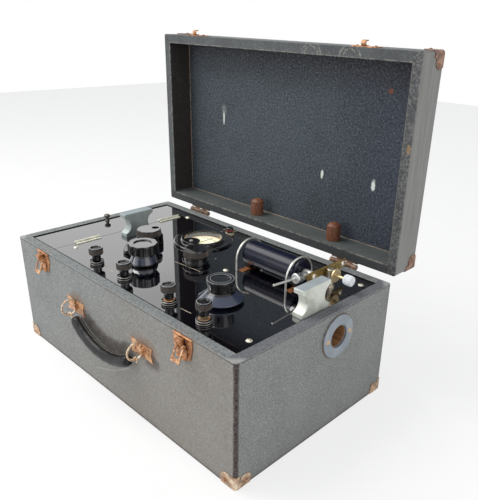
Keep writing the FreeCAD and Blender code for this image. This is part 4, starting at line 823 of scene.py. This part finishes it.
# Painted highlights: grey for the terminal rims and the skirted knob's rings, pale for the edges of the
# terminal bases.
rim_highlight = moulded_finish("painted_rim_highlight", tone(120, 122, 122), 0.5, 1.6)
copper_washer = plated_finish("copper_washer", (196, 150, 112), 0.4, 0.3)
edge_highlight = plated_finish("painted_edge_highlight", (150, 150, 148), 0.4, 0.28)
for number, x, lift in zip("1234", TERM_X, TERM_LIFT):
    body = "terminal_head_" + number
    top = TERM_TOP + lift
    dress(body, head_black, 0.2, name="terminal_drum_" + number)
    ribs("terminal_knurl_" + number, (x, TERM_Y, top - 4.6), (0, 0, 1), (8.6, 8.6), 6.2, 44, knurl_black,
         body, "knurl_black")
    # The pale rings round the edges of each base are painted highlights.
    for place, height in (("_upper", 3.9), ("_lower", 1.2)):
        turned("terminal_edge_" + number + place, EDGE_PROFILE, (x, TERM_Y, PANEL_Z + height), edge_highlight,
               "case", "nickel")
    # The grey rim on each top is a painted highlight.
    turned("terminal_rim_" + number, RIM_PROFILE, (x, TERM_Y, top), rim_highlight, body, "knurl_black")
    if lift:
        turned("terminal_washer_" + number, WASHER_PROFILE, (x, TERM_Y, PANEL_Z + 4.62), copper_washer,
               "case", "copper")

# Push button: a moulded black cap with a red band, sprung in a cream collar
# that is let into the panel.
button = Finish("button_black", IOR=1.6, Roughness=0.3)
band = abs(button.z - (PANEL_Z + 6.0) * MM).fade(0.0011, 0.0008)
button.paint(Base_Color=button.mix(band, tone(24, 20, 20), tone(140, 36, 24)))
dress("button_cap", button.material, 0.3)
cream = mottled("cream_collar", (3, 4), (170, 158, 126), (214, 204, 172), Roughness=0.5)
dress("button_socket", cream.material, 0.2)

# Coil: a varnished black tube round an iron core, on two copper saddles.
# Two nickelled wire bails, nutted under the panel, hold it down.
varnish = Finish("varnished_tube", IOR=1.3, Coat_Weight=0.1, Coat_Roughness=0.12)
hoops = varnish.noise(5, 4, 0.6, stretch=(0.4, 1, 1))
varnish.paint(Base_Color=varnish.ramp(hoops, (0.3, tone(8, 11, 26)), (0.7, tone(14, 19, 42))),
              Roughness=0.24 + hoops * 0.02)
dress("coil_tube", varnish.material, 0.4)
iron = mottled("soft_iron", (3, 4), (62, 58, 56), (110, 104, 100), Metallic=0.8, Roughness=0.45)
dress("coil_core", iron.material, 0.3)
saddle = Finish("saddle_copper", Metallic=0.6, Roughness=0.4)
saddle_tone = saddle.ramp(saddle.noise(4, 4), (0.3, tone(120, 70, 40)), (0.7, tone(206, 142, 92)))
off_panel = saddle.z.fade((PANEL_Z + 1.1) * MM, (PANEL_Z + 1.6) * MM)
saddle.paint(Base_Color=saddle.mix(off_panel, saddle_tone, tone(36, 24, 18)))
dress("saddle_strips", saddle.material, 0.15)
dress("retaining_bails", plated_finish("bail_wire", (214, 216, 210), 0.3, 0.18), 0.15)

# Arm: a plated post with a clamp screw, a brass strip on it, and a hub and chuck that hold a rod.
# Slotted screws hold the strip, and a white milled knob tightens the clamp.
dress("arm_post", plated_finish("post_plate", (186, 178, 160), 0.45, 0.22), 0.2)
dress("arm_strip", brass_finish("strip_brass", 0.6), 0.2)
chuck_metal = plated_finish("chuck_plate", (226, 228, 226), 0.25, 0.22)
STRIP_FACE = 171.8
STRIP_SCREWS = ((99.5, 172.0), (44.0, 171.2))
RIGHTWARD = (1, 0, 0)
domes("strip_screw_heads", [((STRIP_FACE, y, z), RIGHTWARD) for y, z in STRIP_SCREWS], 3.7, 2.1,
      screw_metal, "arm", "nickel")
slots("strip_screw_slots", [((STRIP_FACE + 1.8, y, z), RIGHTWARD) for y, z in STRIP_SCREWS], 5.0,
      "arm", "nickel")
dress("chuck_hub", chuck_metal, 0.25)
dress("chuck_nut", chuck_metal, 0.25)
NUT_AT = (163.5, 25.0, 172.9)
NUT_SLOPE = math.radians(5)
NUT_WAY = (0, -math.cos(NUT_SLOPE), math.sin(NUT_SLOPE))
ribs("chuck_nut_milling", NUT_AT, NUT_WAY, (6.3, 6.3), 6.4, 26,
     moulded_finish("blued_nut", tone(22, 26, 40), 0.3, 1.8), "chuck_nut", "nickel")
dress("probe_rod", chuck_metal, 0.1)
clamp = Finish("white_knob", Roughness=0.4)
on_knob = clamp.x.fade(0.1984, 0.1988)
white = clamp.ramp(clamp.noise(3, 4), (0.3, tone(196, 200, 202)), (0.7, tone(228, 232, 234)))
clamp.paint(Base_Color=clamp.mix(on_knob, tone(204, 184, 144), white), Metallic=(1 - on_knob) * 0.8)
dress("clamp_screw", clamp.material, 0.25)
CLAMP_AT = (204, 69, 169.5)
ribs("clamp_knob_milling", CLAMP_AT, RIGHTWARD, (6.05, 6.05), 7.4, 34, clamp.material,
     "clamp_screw", "knob_white")

# Pedestals: two cast aluminium blocks, waisted at both ends, screwed down near the panel's sides.
# The castings are left rough, and their flat tops are painted blue-grey as a reflection.
cast = Finish("cast_aluminium", Metallic=0.55)
grainy = cast.noise(1.4, 4, 0.7)
cast_tone = cast.coats(
    tone(212, 215, 206),
    (cast.noise(12, 4).fade(0.35, 0.75), tone(184, 187, 177)),
    # Painted reflection: the flat tops are painted blue-grey.
    (cast.z.fade(0.1862, 0.1866) * 0.6, tone(150, 168, 184)),
    # Painted shade: the pedestal on the left is painted a darker blue-grey.
    (cast.x.fade(0.0, -0.02) * 0.55, tone(112, 130, 140)),
    (grainy.fade(0.62, 0.8) * 0.4, tone(140, 140, 132)))
cast.paint(Base_Color=cast_tone, Roughness=0.42 + grainy * 0.2, Normal=cast.relief(grainy, 0.12))
dress("pedestals", cast.material, 0.7, 3)

# Four knobs, moulded in glossy black and dusty with age: one with a pointer bar, one fluted,
# one with two flanges, and one with a wide skirt.
LEVER_AT, FLUTED_AT, KNURLED_AT, SKIRTED_AT = (-78, -12), (-31, -54), (14, -4), (116, -52)
SKIRTED_TOP = PANEL_Z + 27.6
# Outside its drum the skirted knob is painted blue-grey: a painted reflection of the sky in the glossy
# black.
SKIRT_REFLECTION = ((SKIRTED_AT[0] * MM, SKIRTED_AT[1] * MM, 0), 0.0168, tone(60, 68, 88))
for node in ("knob_lever", "knob_fluted", "knob_knurled"):
    dress(node, bakelite, 0.35)
dress("knob_skirted", moulded_finish("skirted_black", skirt=SKIRT_REFLECTION), 0.35)
ribs("lever_knob_knurl", (*LEVER_AT, PANEL_Z + 19.9), (0, 0, 1), (16.95, 15.85), 6.6, 84, knurl_black,
     "knob_lever", "bakelite")
ribs("knurled_knob_knurl", (*KNURLED_AT, PANEL_Z + 15.5), (0, 0, 1), (16.6, 15.3), 7.0, 84, knurl_black,
     "knob_knurled", "bakelite")
COLLAR_PROFILE = (
    (12.5, 3.4), (17.7, 3.4), (18.1, 3.9), (17.2, 6.2), (15.2, 11.0), (14.6, 12.2),
    (14.0, 12.5), (12.5, 12.5), (12.5, 3.4))
# The fluted knob's collar is painted blue-grey: a painted reflection of the sky in the glossy black.
turned("fluted_knob_collar", COLLAR_PROFILE, (*FLUTED_AT, PANEL_Z),
       moulded_finish("collar_sky_reflection", tone(52, 58, 74), 0.3, 2.2, 0.2), "knob_fluted", "bakelite")
# Two thin pale rings on the skirted knob's top are painted highlights of its rounded edges.
BEAD = ((-0.45, -0.3), (-0.35, 0.1), (0, 0.22), (0.35, 0.1), (0.45, -0.3), (-0.45, -0.3))
for r in (15.2, 11.6):
    turned("skirted_knob_ring_" + str(round(r)), [(r + out, up) for out, up in BEAD],
           (*SKIRTED_AT, SKIRTED_TOP), rim_highlight, "knob_skirted", "bakelite")

# Lid: a shallow wooden tray, lined and covered in the same cloth, with two wooden pegs in its back wall.
# The rim is rubbed pale along its inner edge and mitred at the corners.
RIM_PLANE, LINING_PLANE, LID_DEPTH = 0.1364, 0.1744, 0.0440
OPEN_X, OPEN_LOW, OPEN_HIGH = 0.2125, 0.1725, 0.4075
lid = Finish("lid_leathercloth", Specular_IOR_Level=0.35)
depth_in = lid.y - RIM_PLANE
span_x = abs(lid.x) * -1.0 + OPEN_X
rise = lid.z - OPEN_LOW
drop = OPEN_HIGH - lid.z
span_z = rise.least(drop)
opening = span_x.least(span_z)
before_back = depth_in.fade(LID_DEPTH - 2.2 * MM, LID_DEPTH - 3.0 * MM)
hollow = opening.fade(-0.0014, -0.0006) * depth_in.fade(0.0008, 0.0020) * before_back
on_lining = hollow * (lid.y - LINING_PLANE).fade(-0.0012, -0.0004)
on_shelf = hollow * rise.fade(0.0012, 0.0006)
lid_speck = lid.noise(2.6, 3, 0.8)
lid_patch = lid.noise(70, 4, 0.6).fade(0.35, 0.7)
lid_fine = lid.noise(5, 4, 0.7)
lining = lid.coats(
    tone(64, 72, 78),
    (lid_patch, tone(51, 59, 64)),
    (lid.x.fade(0.02, 0.2) * 0.5, tone(52, 54, 72)),
    # Towards the top of the opening the lining is painted darker: painted shade under the lid's top wall.
    (drop.fade(0.055, 0.0) * 0.7, tone(40, 34, 38)),
    (lid_speck.fade(0.52, 0.64) * 0.65, tone(100, 106, 112)),
    (lid_speck.fade(0.48, 0.36) * 0.85, tone(20, 22, 28)),
    (opening.fade(0.0016, 0.0005) * lid_fine.fade(0.3, 0.55) * 0.8, tone(150, 128, 108)))
SCUFFS = (((-130.6, 302), (2.4, 11), 0.7), ((71.0, 252.7), (2.8, 6.8), 0.9),
          ((155.3, 253.7), (3.4, 8.5), 0.95), ((-130, 314), (6, 10), 0.12))
SCUFF_PALE = tone(226, 230, 222)


def ragged(x, z, wide, high, y=LINING_PLANE, deep=0.02):
    """Distance from a spot of the lid, given in millimetres along it, counted in the spot's size."""
    return lid.near((x * MM, y, z * MM), (wide * MM, deep, high * MM))


for at, size, strength in SCUFFS:
    scuff = (ragged(*at, *size) + (lid_fine - 0.5) * 1.2).fade(1.1, 0.5)
    lining = lid.mix(scuff * strength, lining, SCUFF_PALE)
rust_spot = (ragged(166.3, 372.1, 5, 4) + (lid_fine - 0.5) * 1.6).fade(1.0, 0.5)
lining = lid.mix(rust_spot * 0.8, lining, tone(130, 72, 50))
# The inner walls are painted dark brown-grey: partly their own colour, partly painted shade inside the lid.
wall = lid.mix(lid_fine.fade(0.4, 0.75) * 0.5, tone(42, 36, 36), tone(64, 56, 52))
shelf = lid.coats(
    tone(84, 90, 88), (lid_patch, tone(72, 76, 76)), (lid_fine.fade(0.5, 0.8) * 0.5, tone(120, 116, 108)))
inside = lid.mix(on_lining, lid.mix(on_shelf, wall, shelf), lining)
on_end = (CASE.x - abs(lid.x)).fade(0.0012, 0.0004)
streaks = lid.noise(3.2, 3, 0.6, stretch=(1, 1, 0.05)).fade(0.4, 0.7)
end_tone = lid.mix(streaks * 0.5, tone(134, 134, 131), tone(106, 103, 101))
on_rim = depth_in.fade(0.0010, 0.0004)
low_rim = (lid.z - (OPEN_LOW + MM)).fade(0.001, -0.001) * on_rim
mitre = abs(span_x - span_z).fade(0.0012, 0.0004) * on_rim * opening.fade(0.0, -0.001)
edge_line = abs(opening + 0.0008).fade(0.0012, 0.0004) * lid_fine.fade(0.38, 0.6) * before_back
outside = lid.coats(
    tone(82, 85, 86),
    (lid_patch, tone(66, 68, 70)),
    (lid_speck.fade(0.52, 0.72) * 0.35, tone(132, 132, 128)),
    (lid_speck.fade(0.44, 0.3) * 0.5, tone(50, 50, 52)),
    (depth_in.fade(0.0012, 0.0030) * 0.55, tone(124, 126, 124)),
    (on_end * 0.85, end_tone),
    (low_rim * 0.65, tone(44, 44, 46)),
    (mitre * 0.6, tone(40, 38, 36)),
    (edge_line * 0.55, tone(150, 148, 136)))
RING_MARKS = ((0.0709, 0.0150), (0.0709, 0.0105), (0.1297, 0.0150), (0.1297, 0.0095))
RING_PALE = tone(160, 156, 140)
for x, radius in RING_MARKS:
    away = lid.near((x, RIM_PLANE, OPEN_HIGH), (1, 1, 1))
    arc_mark = abs(away - radius + (lid_fine - 0.5) * 0.004).fade(0.0016, 0.0004)
    outside = lid.mix(arc_mark * on_rim * lid_speck.fade(0.4, 0.6) * 0.5, outside, RING_PALE)
bare = (ragged(221.5, 316.3, 3, 6, RIM_PLANE, 0.01) + (lid_fine - 0.5)).fade(1.0, 0.6)
right_side = lid.x.fade(OPEN_X - MM, OPEN_X + MM) * on_rim
rub_right = lid.x.fade(OPEN_X, OPEN_X + 2.5 * MM) * on_rim * lid_speck.fade(0.48, 0.6)
outside = lid.coats(
    outside,
    (bare * 0.8, tone(176, 140, 84)),
    (right_side * 0.45, tone(58, 56, 58)),
    (rub_right * 0.35, tone(146, 144, 140)))
lid_pebbles = lid.relief(lid.cells(1.6) * 0.5 + lid_speck * 0.5, 0.45)
lid.paint(Base_Color=lid.mix(hollow, outside, inside), Roughness=0.82 - lid_speck * 0.25,
          Normal=lid_pebbles)
dress("lid_shell", lid.material, 1.0, 3, 40)
LID_CAP_SHADES = (tone(92, 62, 50), tone(142, 104, 84), tone(186, 158, 136))
dress("lid_corner_caps", copper_finish("lid_cap_copper", 0.4, 0.45, 0.7, LID_CAP_SHADES), 0.35)
peg = Finish("turned_peg", Roughness=0.45)
rings = peg.noise(2.5, 4, 0.7, stretch=(1, 0.15, 1))
peg_tone = peg.ramp(rings, (0.3, tone(72, 40, 26)), (0.55, tone(116, 70, 46)), (0.8, tone(150, 104, 76)))
peg.paint(Base_Color=peg_tone, Normal=peg.relief(rings, 0.15))
dress("lid_pegs", peg.material, 0.5)
HINGE_SHADES = (tone(74, 52, 42), tone(112, 80, 60), tone(170, 150, 128))
hinge_copper = copper_finish("hinge_copper", 0.4, 0.3, 0.8, HINGE_SHADES)
dress("hinge_leaves_base", hinge_copper, 0.2)
dress("hinge_leaves_lid", hinge_copper, 0.2)

# Draw latches: a rusted plate nailed to the front, a lever on its lug, and a wire-edged loop on the
# lever. Each loop reaches a rolled hook nailed to the lid.
latch_copper = copper_finish("latch_copper", 0.35, 0.5, 0.7)
loop_copper = copper_finish("loop_copper", 0.9, 0.6, 0.3)
dress("latch_plates", latch_copper, 0.2)
dress("lid_catches", copper_finish("catch_copper", 0.5), 0.2)
for hand in ("left", "right"):
    dress("latch_lever_" + hand, latch_copper, 0.2)
    dress("latch_loop_" + hand, loop_copper, 0.2)

# Handle: two nailed plates with bridges, a D-shaped ring in each, and a sewn leather roll between
# the rings. The roll is stitched along its upper side.
dress("handle_plates", copper_finish("plate_copper", 0.8, 0.6, 0.45), 0.25)
RING_Y, RING_Z, RING_R = -139.5, 101.0, 10.38
HANDLE_X = (-76.5, 70.0)
BAR_Y = -132.2
WIRE_R = 1.2
RING_SHADES = (tone(170, 130, 96), tone(214, 180, 144), tone(240, 228, 206))
ring_copper = copper_finish("ring_copper", 1.0, 0.75, 0.25, RING_SHADES)


def square_to(way, along):
    return (way - along * way.dot(along)).normalized()


def swept(name, path, radii, steps, material, body, slot, *nodes, closed=False):
    """A round bar along a path of points in millimetres, with one radius for all or one for each."""
    form = bmesh.new()
    hoops, count = [], len(path)
    side = None
    for k, at in enumerate(path):
        after = path[(k + 1) % count] if closed or k + 1 < count else at
        before = path[k - 1] if closed or k else at
        along = (Vector(after) - Vector(before)).normalized()
        if side is None:
            side = along.orthogonal().normalized()
        side = square_to(side, along)
        other = along.cross(side)
        radius = radii[k] if isinstance(radii, list) else radii
        hoop = []
        for j in range(steps):
            a = 2 * math.pi * j / steps
            outward = side * math.cos(a) + other * math.sin(a)
            hoop.append(form.verts.new((Vector(at) + outward * radius) * MM))
        hoops.append(hoop)
    for low, high in zip(hoops, hoops[1:] + hoops[:1] if closed else hoops[1:]):
        shift = 0
        if high is hoops[0]:
            shift = min(range(steps), key=lambda s: sum(
                (low[j].co - high[(j + s) % steps].co).length for j in range(steps)))
        for j in range(steps):
            nxt = (j + 1) % steps
            form.faces.new((low[j], low[nxt], high[(nxt + shift) % steps], high[(j + shift) % steps]))
    if not closed:
        form.faces.new(list(reversed(hoops[0])))
        form.faces.new(hoops[-1])
    bmesh.ops.recalc_face_normals(form, faces=form.faces)
    shade(put(name, as_mesh(form, name), material, body, slot, *nodes), 60)


half_bar = math.acos((BAR_Y - RING_Y) / RING_R)
for x, hand, nodes in zip(HANDLE_X, ("left", "right"), (("handle_rings",), ())):
    arc = [(x, RING_Y + RING_R * math.cos(a), RING_Z + RING_R * math.sin(a))
           for a in (half_bar + (2 * math.pi - 2 * half_bar) * k / 40 for k in range(41))]
    bar = [(x, BAR_Y, arc[-1][2] + (arc[0][2] - arc[-1][2]) * k / 6) for k in range(1, 6)]
    swept("handle_ring_" + hand, arc + bar, WIRE_R, 12, ring_copper, "case", "rusty_steel", *nodes,
          closed=True)

GRIP_START = Vector((-65.5, RING_Y, 90.0))
GRIP_END = Vector((56.0, RING_Y, 83.5))
GRIP_LOW = Vector((-4.75, -141.0, 66.95))
GRIP_R = 7.2
GRIP_POINTS = 46
GRIP_TAPER = (0.62, 0.86, 0.95, 0.985)


def arc_through(first, middle, last, count):
    """Points on the circle through three points."""
    a, b = first - last, middle - last
    cross = a.cross(b)
    offset = (a.length_squared * b - b.length_squared * a).cross(cross) / (2 * cross.length_squared)
    centre = last + offset
    start = first - centre
    normal = start.cross(last - centre).normalized()
    swing = start.angle(last - centre)
    return [centre + (Matrix.Rotation(swing * k / (count - 1), 3, normal) @ start) for k in range(count)]


grip_path = arc_through(GRIP_START, GRIP_LOW, GRIP_END, GRIP_POINTS)
grip_radii = []
for k in range(GRIP_POINTS):
    from_end = min(k, GRIP_POINTS - 1 - k)
    swell = GRIP_TAPER[from_end] if from_end < len(GRIP_TAPER) else 1 + 0.012 * math.sin(k)
    grip_radii.append(GRIP_R * swell)
leather = Finish("grip_leather", Specular_IOR_Level=0.25, Coat_Weight=0.06, Coat_Roughness=0.2)
hide = leather.noise(5, 4, 0.6)
creases = leather.noise(1.6, 4, 0.7, stretch=(1.6, 1, 1))
hide_tone = leather.ramp(hide, (0.3, tone(6, 5, 6)), (0.6, tone(11, 11, 14)), (0.85, tone(34, 30, 28)))
leather.paint(Base_Color=hide_tone, Roughness=0.26 + creases * 0.2,
              Normal=leather.relief(creases, 0.22, leather.relief(hide, 0.6)))
swept("handle_grip_leather", [tuple(p) for p in grip_path], grip_radii, 28, leather.material, "handle",
      "grip_leather", "handle_grip")
SEAM_WAY = Vector((0, 0.62, 0.78))
STITCH_WAY = Vector((0, 0.35, 0.94))
seam_path, stitch_points = [], []
for k, p in enumerate(grip_path[2:-2]):
    along = (grip_path[k + 3] - grip_path[k + 1]).normalized()
    seam_path.append(tuple(p + square_to(SEAM_WAY, along) * (GRIP_R * 0.985)))
    stitch_points.append((tuple(p + square_to(STITCH_WAY, along) * GRIP_R), tuple(along)))
swept("grip_seam", seam_path, 0.75, 8, leather.material, "handle", "grip_leather")
thread = mottled("grip_thread", (1,), (120, 112, 98), (168, 160, 144), Roughness=0.7)
domes("grip_stitches", stitch_points, 0.38, 1.2, thread.material, "handle", "grip_leather")
EYE_R = 3.0
EYE_Z = RING_Z - RING_R
for x, grip_end, way, hand in ((HANDLE_X[0], GRIP_START, 1, "left"), (HANDLE_X[1], GRIP_END, -1, "right")):
    tail = [(grip_end.x + way * 3.0, RING_Y, grip_end.z), (x + way * 3.4, RING_Y, EYE_Z - 2.0)]
    eye = [(x + EYE_R * math.cos(a) * way, RING_Y, EYE_Z + EYE_R * math.sin(a))
           for a in (math.radians(-60 + 15 * k) for k in range(21))]
    swept("grip_eye_" + hand, tail + eye, 1.0, 10, ring_copper, "handle", "grip_leather")
